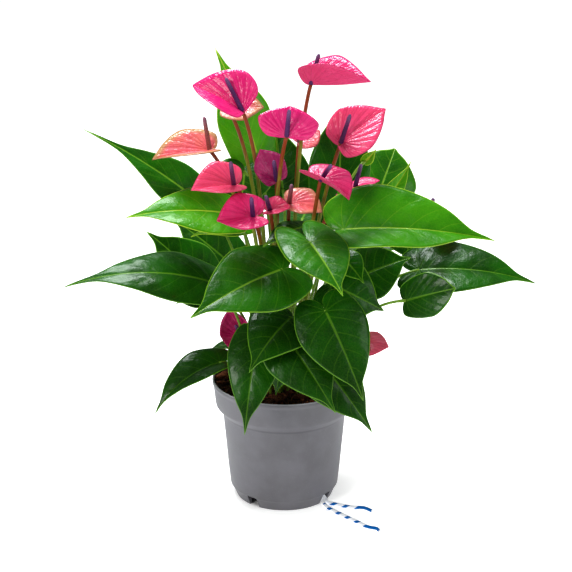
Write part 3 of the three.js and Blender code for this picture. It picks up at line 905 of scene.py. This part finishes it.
def join_parts(*parts):
    """Joins meshes given as (points, faces, numbers, kinds), filling numbers that a part lacks with 0."""
    names = sorted({name for part in parts for name in part[2]})
    points = np.vstack([part[0] for part in parts])
    faces, kinds, start = [], [], 0
    for part_points, part_faces, _, part_kinds in parts:
        faces += [[start + i for i in face] for face in part_faces]
        kinds += list(part_kinds)
        start += len(part_points)
    numbers = {n: np.concatenate([p[2].get(n, np.zeros(len(p[0]))) for p in parts]) for n in names}
    return points, faces, numbers, kinds

# %% [markdown]
# ## Finishes of the plant
#
# The upper side of a leaf is deep green under a thin coat of wax, with paler yellow-green veins, a thin
# pale margin and very fine mottling. Young leaves are bright yellow-green; each leaf carries that as a
# number. Low leaves that are not young are darker, with a dimmer midrib: this is painted shade. The
# underside is paler and almost without gloss, and its veins stand out. Both sides come from one
# function, which draws the veins from the numbers kept at each point.

# %% Greens of a leaf
upper_side = dict(
    gloss=dict(Roughness=0.32, Specular_IOR_Level=0.17, Coat_Weight=0.12, Coat_Roughness=0.08),
    deep=(colour(3, 56, 4), colour(18, 98, 8)), fresh=(colour(56, 148, 4), colour(90, 174, 10)),
    pale=colour(112, 164, 46), vein_strength=0.22, relief=-0.7,
)
underside = dict(
    gloss=dict(Roughness=0.6, Specular_IOR_Level=0.25),
    deep=(colour(58, 104, 52), colour(80, 124, 66)), fresh=(colour(110, 160, 58), colour(134, 184, 74)),
    pale=colour(140, 178, 104), vein_strength=0.8, relief=1.0,
)
full_shade_height, no_shade_height = 140 * MM, 270 * MM


def painted_low_shade(leaf, youth):
    """Painted shade: nearly 1 on a low leaf, which it darkens, and 0 on a high or a young one."""
    low = leaf.fade(leaf.height(), full_shade_height, no_shade_height, 0.95, 0.0)
    return leaf.times(low, leaf.fade(youth, 0.05, 0.3, 1.0, 0.0))


def leaf_greens(leaf, side, low_shade, youth):
    patch = leaf.fade(leaf.cloud(30, 2), 0.3, 0.7)
    deep = leaf.blend(patch, *side["deep"])
    # Painted shade: the greens of a low leaf are multiplied darker.
    deep = leaf.blend(low_shade, deep, leaf.blend(1.0, deep, (0.3, 0.42, 0.4, 1), "MULTIPLY"))
    return leaf.blend(youth, deep, leaf.blend(patch, *side["fresh"]))

# %% Lines of a leaf: veins, midrib and margin
def leaf_lines(leaf, low_shade, vein_strength):
    away = leaf.times(leaf.reckon("PINGPONG", leaf.number("vein"), 0.5), leaf.number("vein_gap"))
    strength = leaf.fade(leaf.number("out"), 0.0, 0.95, vein_strength, 0.12)
    vein = leaf.times(leaf.fade(away, 0.15, 0.75, 1.0, 0.0), strength)
    rib_width = leaf.fade(leaf.number("tipward"), 0.0, 1.0, 1.5, 0.7)
    rib = leaf.fade(leaf.reckon("DIVIDE", leaf.number("rib_mm"), rib_width), 0.3, 1.0, 1.0, 0.0)
    past_joint = leaf.fade(leaf.number("tipward"), 0.0, 0.03)
    # Painted shade dims the midrib of a low leaf.
    rib = leaf.times(leaf.times(rib, past_joint), leaf.fade(low_shade, 0, 1, 0.9, 0.5))
    margin = leaf.fade(leaf.number("edge_mm"), 0.3, 0.95, 1.0, 0.0)
    return leaf.larger(leaf.larger(vein, rib), margin)

# %% Finish of a leaf
def leaf_finish(name, side):
    leaf = Finish(name, **side["gloss"])
    youth = leaf.number("youth")
    low_shade = painted_low_shade(leaf, youth)
    grain = leaf.cloud(1500, 2)
    lines = leaf_lines(leaf, low_shade, side["vein_strength"])
    # On a low leaf the veins and margin take a darker colour, as painted shade.
    line_colour = leaf.blend(youth, leaf.blend(low_shade, side["pale"], colour(84, 132, 30)), colour(176, 210, 60))
    net = leaf.node("TexVoronoi", {"Scale": 420.0, "Vector": leaf.place()}, feature="DISTANCE_TO_EDGE")
    mottle = leaf.fade(net.outputs["Distance"], 0.0, 0.12, 1.0, 0.0)
    green = leaf_greens(leaf, side, low_shade, youth)
    green = leaf.blend(leaf.fade(grain, 0.35, 0.65, 0, 0.06), green, side["pale"])
    green = leaf.blend(leaf.times(mottle, 0.07), green, line_colour)
    relief = leaf.plus(leaf.times(lines, side["relief"]), leaf.times(mottle, -0.12))
    relief = leaf.plus(relief, leaf.times(grain, 0.1))
    crinkle = leaf.raise_by(leaf.cloud(110, 3), 1.1)
    leaf.connect(
        Base_Color=leaf.blend(lines, green, line_colour),
        Normal=leaf.raise_by(relief, 0.28, crinkle),
    )
    return leaf.material


leaf_upper = leaf_finish("leaf_upper", upper_side)
leaf_under = leaf_finish("leaf_underside", underside)

# %% Finish of petioles and flower stalks
def stem_finish(name, low, high, start, end):
    stem = Finish(name, Roughness=0.42, Specular_IOR_Level=0.35)
    streaks = stem.cloud(90, 3, stretch=(6, 6, 0.5))
    change = stem.fade(stem.plus(stem.number("along"), stem.times(streaks, 0.25)), start, end)
    skin = stem.blend(change, low, high)
    skin = stem.blend(stem.fade(streaks, 0.4, 0.7, 0, 0.25), skin, colour(70, 84, 30))
    stem.connect(Base_Color=skin, Normal=stem.raise_by(streaks, 0.15))
    return stem.material


petiole_skin = stem_finish("petiole_skin", colour(112, 138, 44), colour(122, 160, 52), 0.2, 0.9)
stalk_skin = stem_finish("stalk_skin", colour(124, 140, 36), colour(140, 58, 22), 0.84, 1.04)

# %% [markdown]
# ## The leaves
#
# The table gives each leaf where its petiole leaves the mix, the joint with the blade, the tip, half the
# width, and which way the upper side looks. The last words bend it. Youth goes from 0 for an old dark
# leaf to 1 for one that has just opened.

# %% Table of the leaves
leaves = {
    "leaf_01": dict(root=(-1, -22), joint=(-2, -62, 219), tip=(-71, -112, 197), half=34,
                    faces=(-0.3, -0.8, 0.65), fold=8, wide=0.22, youth=0.15),
    "leaf_02": dict(root=(5, -20), joint=(20, -72, 244), tip=(44, -118, 217), half=26,
                    faces=(0.35, -0.85, 0.4), arch=20, lobe=0.5, youth=0.18),
    "leaf_03": dict(root=(12, -15), joint=(47, -38, 244), tip=(164, -54, 240), half=37,
                    faces=(-0.08, -0.5, 0.9), arch=25, fold=30, curl=15, lobe=0.14, wide=0.22, youth=0.45,
                    sag=0.07),
    "leaf_04": dict(root=(26, 4), joint=(111, 5, 196), tip=(205, -8, 189), half=31,
                    faces=(0.1, -0.5, 0.9), arch=35, fold=18, curl=30, lobe=0.17),
    "leaf_05": dict(root=(25, -10), joint=(97, -44, 187), tip=(134, -60, 203), half=18,
                    faces=(-0.25, -0.85, 0.45), arch=20, fold=8, curl=15, lobe=0.1, wide=0.5, taper=0.02,
                    notch=0.02),
    "leaf_06": dict(root=(-27, -6), joint=(-58, -15, 192), tip=(-176, -38, 196), half=29,
                    faces=(0, -0.45, 0.88), arch=52, fold=4, taper=0.45),
    "leaf_07": dict(root=(-12, 5), joint=(-42, -16, 250), tip=(-124, -38, 254), half=28,
                    faces=(0, -0.45, 0.9), fold=12, lobe=0.12, youth=0.7),
    "leaf_08": dict(root=(-20, -4), joint=(-65, 15, 248), tip=(-161, 15, 312), half=22,
                    faces=(0.15, -0.55, 0.75), arch=22, fold=12, taper=0.6),
    "leaf_09": dict(root=(-6, 15), joint=(-33, 45, 269), tip=(-37, 28, 236), half=24,
                    faces=(0.1, -0.8, 0.5), arch=45, lobe=0.3),
    "leaf_10": dict(root=(-24, 9), joint=(-68, 20, 180), tip=(-114, 25, 223), half=30,
                    faces=(0.3, -0.6, 0.7), arch=15, fold=8),
    "leaf_11": dict(root=(-19, 17), joint=(-45, 55, 184), tip=(-97, 66, 223), half=28,
                    faces=(0.3, -0.6, 0.7), arch=15, fold=8),
    "leaf_12": dict(root=(-5, 8), joint=(-23, 67, 278), tip=(-57, 67, 368), half=25,
                    faces=(0.4, -0.85, 0.2), arch=28, fold=2, lobe=0.2, wide=0.3, taper=0.42, youth=1),
    "leaf_13": dict(root=(19, 12), joint=(77, 75, 231), tip=(96, 110, 272), half=30,
                    faces=(0.1, -0.85, 0.5), arch=20, fold=5, curl=30, lobe=0.1, wide=0.5, taper=0.05,
                    youth=0.25),
    "leaf_14": dict(root=(3, -27), joint=(5, -62, 179), tip=(-27, -100, 148), half=28,
                    faces=(-0.25, -0.75, 0.7), arch=40, fold=14, curl=25, lobe=0.12),
    "leaf_15": dict(root=(-11, -26), joint=(-21, -56, 162), tip=(-31, -92, 92), half=22,
                    faces=(-0.1, -0.95, 0.3), arch=40, fold=8, curl=30, lobe=0.12),
    "leaf_16": dict(root=(11, -22), joint=(32, -80, 191), tip=(61, -108, 128), half=29,
                    faces=(0.15, -0.85, 0.5), fold=5, curl=25),
    "leaf_17": dict(root=(-4, -28), joint=(2, -72, 166), tip=(40, -102, 115), half=27,
                    faces=(0.05, -0.85, 0.6), arch=35, fold=8, curl=30, lobe=0.12),
    "leaf_18": dict(root=(10, -28), joint=(22, -56, 148), tip=(70, -78, 88), half=27,
                    faces=(0.25, -0.8, 0.5), arch=25, fold=5, curl=25, lobe=0.12),
    "leaf_19": dict(root=(-25, -14), joint=(-53, -30, 128), tip=(-104, -55, 94), lean=(0.03, 0.6, 0.5, 1),
                    half=20, faces=(-0.2, -0.3, 0.92), arch=60, fold=28, curl=25),
    "leaf_20": dict(root=(19, -13), joint=(38, -41, 199), tip=(80, -38, 176), half=29,
                    faces=(0.1, -0.85, 0.5), arch=25, fold=5, curl=25),
    "leaf_21": dict(root=(20, -4), joint=(64, 0, 193), tip=(104, 5, 207), half=24,
                    faces=(0, -0.8, 0.6), curl=25),
    "leaf_22": dict(root=(11, 15), joint=(44, 40, 233), tip=(48, 58, 320), half=26,
                    faces=(0.1, -0.9, 0.3), arch=15, fold=8, wide=0.45, taper=0.06),
    "leaf_23": dict(root=(3, 11), joint=(-1, 78, 244), tip=(-8, 92, 303), half=26,
                    faces=(-0.1, -0.9, 0.3), arch=20),
    "leaf_24": dict(root=(19, 20), joint=(62, 70, 190), tip=(128, 100, 178), half=31, faces=(0.15, 0.3, 0.9)),
    "leaf_25": dict(root=(2, 19), joint=(16, 92, 214), tip=(28, 165, 196), half=31,
                    faces=(0.1, 0.4, 0.9), arch=40),
    "leaf_26": dict(root=(-12, 21), joint=(-42, 88, 168), tip=(-92, 140, 152), half=30,
                    faces=(-0.3, 0.4, 0.9), arch=40),
    "leaf_27": dict(root=(10, 23), joint=(30, 62, 150), tip=(66, 124, 118), half=28,
                    faces=(0.2, 0.5, 0.8), arch=40),
}

# %% Grow the leaves
leaf_veins = (0.1, 0.21, 0.33, 0.45, 0.55, 0.65, 0.74, 0.83, 0.91)
petiole_radius = 1.15


def petiole_radii(count):
    """A petiole is thicker at its foot, and has a small knee just below the blade."""
    along = np.linspace(0, 1, count)
    return petiole_radius * (1 + 0.45 * np.exp(-along / 0.06) + 0.25 * bump_at(along, 0.97, 0.035))


def grow_leaf(name, blade, stands_for):
    blade = {**blade_defaults, **blade}
    sheet = blade_sheet(blade, leaf_veins, forward=0.045, fan=0.0, between=4, steps=14, swell=0.4)
    shell = thick_blade(*sheet, thickness=0.55, rib_height=0.9)
    path = stem_path(blade, petiole_lean)
    petiole = rod(path, petiole_radii(len(path)), sides=10)
    points, faces, numbers, kinds = join_parts(shell, (*petiole, [2] * len(petiole[1])))
    numbers["youth"] = np.full(len(points), float(blade.get("youth", 0.05)))
    materials = [leaf_upper, leaf_under, petiole_skin]
    return make_piece(name, points, faces, materials, stands_for, numbers, kinds)


for name, blade in leaves.items():
    grow_leaf(name, blade, [name])
print("leaves:", len(leaves))

# %% [markdown]
# Between the large leaves a few small or half-hidden ones close the gaps. They carry no weight and need
# no solid of their own in the measured model, so they exist only here.

# %% Table of the small leaves
small_leaves = {
    "small_leaf_01": dict(root=(-14, 2), joint=(-36, 5, 234), tip=(-75, -12, 230), half=16,
                          faces=(0, -0.3, 1), youth=0.8),
    "small_leaf_02": dict(root=(22, 8), joint=(97, 44, 227), tip=(108, 28, 189), half=20,
                          faces=(0, -1, 0.2), arch=20, taper=0.5),
    "small_leaf_03": dict(root=(20, 10), joint=(85, 52, 242), tip=(106, 55, 275), half=9,
                          faces=(0.3, -0.9, 0.2), fold=25, youth=0.8),
    "small_leaf_04": dict(root=(-22, 6), joint=(-33, 12, 126), tip=(-64, 0, 126), half=11,
                          faces=(0, -0.1, 1), arch=50),
    "small_leaf_05": dict(root=(-2, -26), joint=(0, -36, 143), tip=(-7, -46, 106), half=15,
                          faces=(0, -0.9, 0.4)),
    "small_leaf_06": dict(root=(16, -16), joint=(47, -34, 219), tip=(63, -52, 204), half=13,
                          faces=(0.1, -0.7, 0.6)),
    "small_leaf_07": dict(root=(-20, 8), joint=(-47, 8, 169), tip=(-89, -4, 170), half=15,
                          faces=(0, -0.4, 0.9), arch=50),
    "small_leaf_08": dict(root=(4, -12), joint=(14, -30, 243), tip=(-17, -46, 232), half=16,
                          faces=(0, -0.2, 1), arch=35),
    "small_leaf_09": dict(root=(18, 12), joint=(67, 40, 279), tip=(76, 38, 290), half=5,
                          faces=(0.2, -0.9, 0.3), youth=1),
}

# %% Grow the small leaves
for name, blade in small_leaves.items():
    grow_leaf(name, blade, [])
print("small leaves:", len(small_leaves))

# %% [markdown]
# ## The flowers
#
# A spathe is a waxy leaf in flower colours. Open ones are hot pink, old ones fade to salmon with a
# greenish margin, and young ones start deep purple, so one number for age drives a colour ramp. The
# veins fan out from the stalk and are pressed in, with shiny swellings and finer veins between them.

# %% Colour of a spathe by its age
spathe_shades = [(0.0, colour(126, 12, 84)), (0.45, colour(221, 32, 116)), (0.7, colour(233, 84, 112)),
                 (1.0, colour(224, 124, 108))]


def spathe_colour(spathe, age):
    ramp = spathe.node("ValToRGB", {"Fac": age})
    elements = ramp.color_ramp.elements
    elements[0].position, elements[0].color = spathe_shades[0]
    elements[1].position, elements[1].color = spathe_shades[-1]
    for position, shade in spathe_shades[1:-1]:
        elements.new(position).color = shade
    patch = spathe.fade(spathe.cloud(70, 3), 0.3, 0.75, 0, 0.32)
    return spathe.blend(patch, ramp.outputs["Color"], colour(240, 96, 150))


def spathe_veining(spathe):
    away = spathe.times(spathe.reckon("PINGPONG", spathe.number("vein"), 0.5), spathe.number("vein_gap"))
    main = spathe.fade(away, 0.1, 1.3, 0.34, 0.0)
    between = spathe.reckon("PINGPONG", spathe.times(spathe.number("vein"), 3), 0.5)
    return spathe.larger(main, spathe.fade(between, 0.05, 0.4, 0.16, 0.0))

# %% Finish of a spathe
def spathe_finish(name, upper):
    roughness, specular = (0.24, 0.45) if upper else (0.5, 0.3)
    spathe = Finish(name, Roughness=roughness, Specular_IOR_Level=specular)
    age = spathe.number("age")
    ground = spathe_colour(spathe, age)
    vein = spathe_veining(spathe)
    crinkle = spathe.cloud(210, 3)
    deeper = spathe.blend(1.0, ground, (0.62, 0.35, 0.55, 1), "MULTIPLY")
    skin = spathe.blend(vein, ground, deeper)
    old_edge = spathe.times(spathe.fade(spathe.number("edge_mm"), 0.0, 7.0, 0.75, 0.0),
                          spathe.fade(age, 0.72, 1.0))
    skin = spathe.blend(old_edge, skin, colour(150, 158, 84))
    thin_edge = spathe.fade(spathe.number("edge_mm"), 0.2, 0.7, 0.5, 0.0)
    skin = spathe.blend(thin_edge, skin, spathe.blend(1.0, ground, (0.6, 0.5, 0.6, 1), "MULTIPLY"))
    if not upper:
        skin = spathe.blend(0.35, skin, colour(186, 84, 112))
    grain = spathe.cloud(1700, 2)
    relief = spathe.plus(spathe.times(vein, -1.0 if upper else 1.0), spathe.times(grain, 0.15))
    spathe.connect(
        Base_Color=skin,
        Normal=spathe.raise_by(relief, 0.35, spathe.raise_by(crinkle, 0.9)),
    )
    return spathe.material


spathe_upper = spathe_finish("spathe_upper", True)
spathe_under = spathe_finish("spathe_underside", False)

# %% [markdown]
# A spadix is a finger packed with tiny flowers in spirals. Two crossing sets of spirals raise the
# surface of the mesh into little diamonds, and the finish adds the buds, as cells with dark joints.

# %% Finish of a spadix
florets = Finish("spadix_skin", Roughness=0.5, Specular_IOR_Level=0.4)
spadix_ramp = florets.node("ValToRGB", {"Fac": florets.number("age")})
spadix_ramp.color_ramp.elements[0].color = colour(84, 34, 98)
spadix_ramp.color_ramp.elements[1].color = colour(172, 108, 84)
spadix_ramp.color_ramp.elements[0].position = 0.6
towards_tip = florets.fade(florets.number("along"), 0.55, 1.0, 0, 0.4)
purple = florets.blend(towards_tip, spadix_ramp.outputs["Color"], colour(170, 130, 176))
buds = florets.node("TexVoronoi", {"Scale": 1500.0, "Vector": florets.place()}, feature="F1")
from_bud = buds.outputs["Distance"]
purple = florets.blend(florets.fade(from_bud, 0.2, 0.6, 0.0, 0.45), purple, colour(52, 18, 60))
florets.connect(Base_Color=purple, Normal=florets.raise_by(florets.times(from_bud, -1.0), 0.25))
spadix_skin = florets.material

# %% Table of the flowers with open spathes
flowers = {
    "01": dict(root=(-12, -2), joint=(-32, -30, 337), tip=(-71, -14, 354), spadix=(-45, -24, 362), half=28,
               faces=(0.15, -0.57, 0.82), arch=22, fold=33, curl=0, lobe=0.05, wide=0.28, taper=0.06,
               notch=0.03, wave=0.02, age=0.45),
    "02": dict(root=(5, -3), joint=(21, -5, 353), tip=(67, -24, 359), spadix=(27, -11, 378), half=26,
               faces=(0, 0, 1), arch=-10, fold=60, curl=20, lobe=0.16, wide=0.32, taper=0.12, age=0.5),
    "03": dict(root=(11, -2), joint=(45, -2, 305), tip=(81, 10, 330), spadix=(52, -10, 330),
               lean=(0.1, 0.4, 0.5, 0.75), half=22, faces=(-0.05, -0.75, 0.65), arch=20, fold=10, curl=-5,
               lobe=0.1, wide=0.32, taper=0.12, age=0.62),
    "04": dict(root=(-11, -8), joint=(2, -45, 321), tip=(5, -38, 343), spadix=(4, -54, 344), half=23.5,
               faces=(0, -0.9, 0.4), arch=40, fold=5, curl=10, lobe=0.06, wide=0.5, taper=0.03,
               notch=0.03, age=0.42),
    "05": dict(root=(-5, -9), joint=(-6, -20, 279), tip=(-19, -14, 303), spadix=(-8, -34, 299), half=14,
               faces=(0.1, -0.85, 0.3), arch=0, curl=-10, lobe=0.06, wide=0.5, taper=0.12, notch=0.03,
               age=0.1),
    "06": dict(root=(7, -10), joint=(28, -45, 286), tip=(50, -58, 274), spadix=(36, -62, 303),
               lean=(0.2, 0.35, 0.7, 0.8), half=20, faces=(0.25, -0.1, 1), arch=25, fold=38,
               lobe=0.5, wide=0.4, notch=0.06, age=0.52),
    "07": dict(root=(-19, 4), joint=(-60, 14, 295), tip=(-106, 6, 289), spadix=(-64, 12, 323), half=22,
               faces=(-0.02, -0.32, 0.9), arch=12, fold=35, lobe=0.16, age=0.95),
    "08": dict(root=(-17, -14), joint=(-39, -40, 281), tip=(-72, -48, 279), spadix=(-41, -52, 303),
               lean=(0.02, 0.5, 0.1, 0.85), half=21, faces=(-0.02, -0.42, 0.8), fold=35, lobe=0.22, wide=0.33,
               age=0.66),
    "09": dict(root=(-11, -19), joint=(-24, -55, 260), tip=(-52, -60, 258), spadix=(-25, -64, 278), half=20,
               faces=(-0.05, -0.5, 0.7), arch=12, fold=30, lobe=0.35, wide=0.33, age=0.5),
    "10": dict(root=(2, -15), joint=(4, -19, 260), tip=(30, -24, 254), spadix=(6, -31, 279), half=17,
               faces=(0, -0.35, 0.85), arch=20, fold=30, curl=20, lobe=0.2, wide=0.45, taper=0.05, age=0.88),
}

# %% Parts of a flower
spathe_veins = (0.1, 0.2, 0.3, 0.4, 0.5, 0.6, 0.7, 0.8, 0.9)
stalk_radius = 1.6
spadix_radius = 1.95
diamond_relief = 0.07
diamonds_around, diamonds_along = 8, 3.6


def diamonds(along, turn):
    one_way = np.sin(diamonds_around * turn + diamonds_along * along)
    return diamond_relief * one_way * np.sin(diamonds_around * turn - diamonds_along * along)


def spadix_part(flower):
    base, tip = np.array(flower["joint"], float), np.array(flower["spadix"], float)
    u = np.linspace(0, 1, 40)
    path = base + (tip - base) * u[:, None]
    radii = spadix_radius * (1 - 0.2 * u) * np.clip(1 - ((u - 0.88) / 0.125).clip(0, 1) ** 2, 0.02, 1) ** 0.5
    radii[0] = stalk_radius * 0.9
    points, faces, numbers = rod(path, radii, sides=24, bumps=diamonds)
    numbers["age"] = np.full(len(points), float(flower["age"]))
    return points, faces, numbers


def stalk_part(flower):
    path = stem_path(flower, stalk_lean, count=30)
    along = np.linspace(0, 1, len(path))
    radii = stalk_radius * (1.02 + 0.2 * np.exp(-along / 0.05) - 0.08 * along)
    return rod(path, radii, sides=12)


def spathe_part(flower):
    sheet = blade_sheet(flower, spathe_veins, forward=0.03, fan=1.0, between=4, steps=12, swell=0.6)
    points, faces, numbers, kinds = thick_blade(*sheet, thickness=0.6, rib_height=0.3)
    numbers["age"] = np.full(len(points), float(flower["age"]))
    return points, faces, numbers, kinds

# %% Grow the flowers
for number, flower in flowers.items():
    flower = {**spathe_defaults, **flower}
    stalk = stalk_part(flower)
    spadix = spadix_part(flower)
    name = "flower_stalk_" + number
    points, faces, numbers, kinds = join_parts((*stalk, [0] * len(stalk[1])), (*spadix, [1] * len(spadix[1])))
    make_piece(name, points, faces, [stalk_skin, spadix_skin], [name], numbers, kinds)
    name = "spathe_" + number
    points, faces, numbers, kinds = spathe_part(flower)
    make_piece(name, points, faces, [spathe_upper, spathe_under], [name], numbers, kinds)
print("flowers with open spathes:", len(flowers))

# %% [markdown]
# ## Small flowers
#
# Between the large flowers stand young and half-hidden ones. They are made the same way, each joined
# into one piece, because a spathe that has hardly opened still wraps the foot of its spadix.

# %% Table of the small flowers
small_flowers = {
    "01": dict(root=(7, 4), joint=(12, 12, 303), tip=(29, 22, 309), spadix=(12, 0, 320), half=12,
               faces=(0.1, -0.5, 0.85), fold=5, curl=10, lobe=0.15, wide=0.4, taper=0.05, age=0.8),
    "02": dict(root=(-5, -16), joint=(-11, -35, 259), tip=(5, -35, 261), spadix=(-14, -50, 275), half=12,
               faces=(0, -0.35, 0.9), arch=12, fold=30, lobe=0.35, wide=0.4, age=0.62),
    "03": dict(root=(13, 8), joint=(58, 20, 263), tip=(78, 20, 268), spadix=(62, 8, 285), half=10,
               faces=(-0.1, -0.2, 0.95), fold=15, curl=20, age=0.5),
    "04": dict(root=(19, 4), joint=(121, 25, 232), tip=(143, 28, 229), spadix=(121, 10, 256), half=12,
               faces=(0, -0.2, 1), curl=20, age=0.4),
    "05": dict(root=(14, -8), joint=(36, -12, 250), tip=(42, -12, 266), spadix=(43, -16, 266), half=9,
               faces=(0.9, -0.2, 0.3), fold=30, wide=0.4, age=0.6),
    "06": dict(root=(-28, 2), joint=(-35, 2, 138), tip=(-46, -6, 165), spadix=(-40, -6, 152), half=18,
               faces=(-0.2, -0.95, 0.2), arch=-30, fold=10, curl=-60, lobe=0.25, wide=0.45, age=0.3),
    "07": dict(root=(26, -3), joint=(64, -10, 138), tip=(86, -15, 136), spadix=(66, -18, 157), half=14,
               faces=(0, -0.4, 0.85), arch=20, fold=15, curl=30, wide=0.4, age=0.74),
    "08": dict(root=(-13, 10), joint=(-45, 10, 331), tip=(-16, 10, 331), spadix=(-46, 4, 354), half=17,
               faces=(0, -0.5, 0.85), fold=15, curl=20, wide=0.4, age=0.9),
}

# %% Grow the small flowers
small_flower_skins = [spathe_upper, spathe_under, stalk_skin, spadix_skin]
for number, flower in small_flowers.items():
    flower = {**spathe_defaults, **flower}
    stalk = stalk_part(flower)
    spadix = spadix_part(flower)
    joined = join_parts(spathe_part(flower), (*stalk, [2] * len(stalk[1])), (*spadix, [3] * len(spadix[1])))
    points, faces, numbers, kinds = joined
    name = "small_flower_" + number
    make_piece(name, points, faces, small_flower_skins, [name], numbers, kinds)
print("small flowers:", len(small_flowers))

# %% Count the triangles
meshes = [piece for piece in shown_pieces() if piece.type == "MESH"]
triangles = {piece.name: sum(len(f.vertices) - 2 for f in piece.data.polygons) for piece in meshes}
largest = max(triangles, key=triangles.get)
print("triangles:", sum(triangles.values()), "largest piece:", largest, triangles[largest])
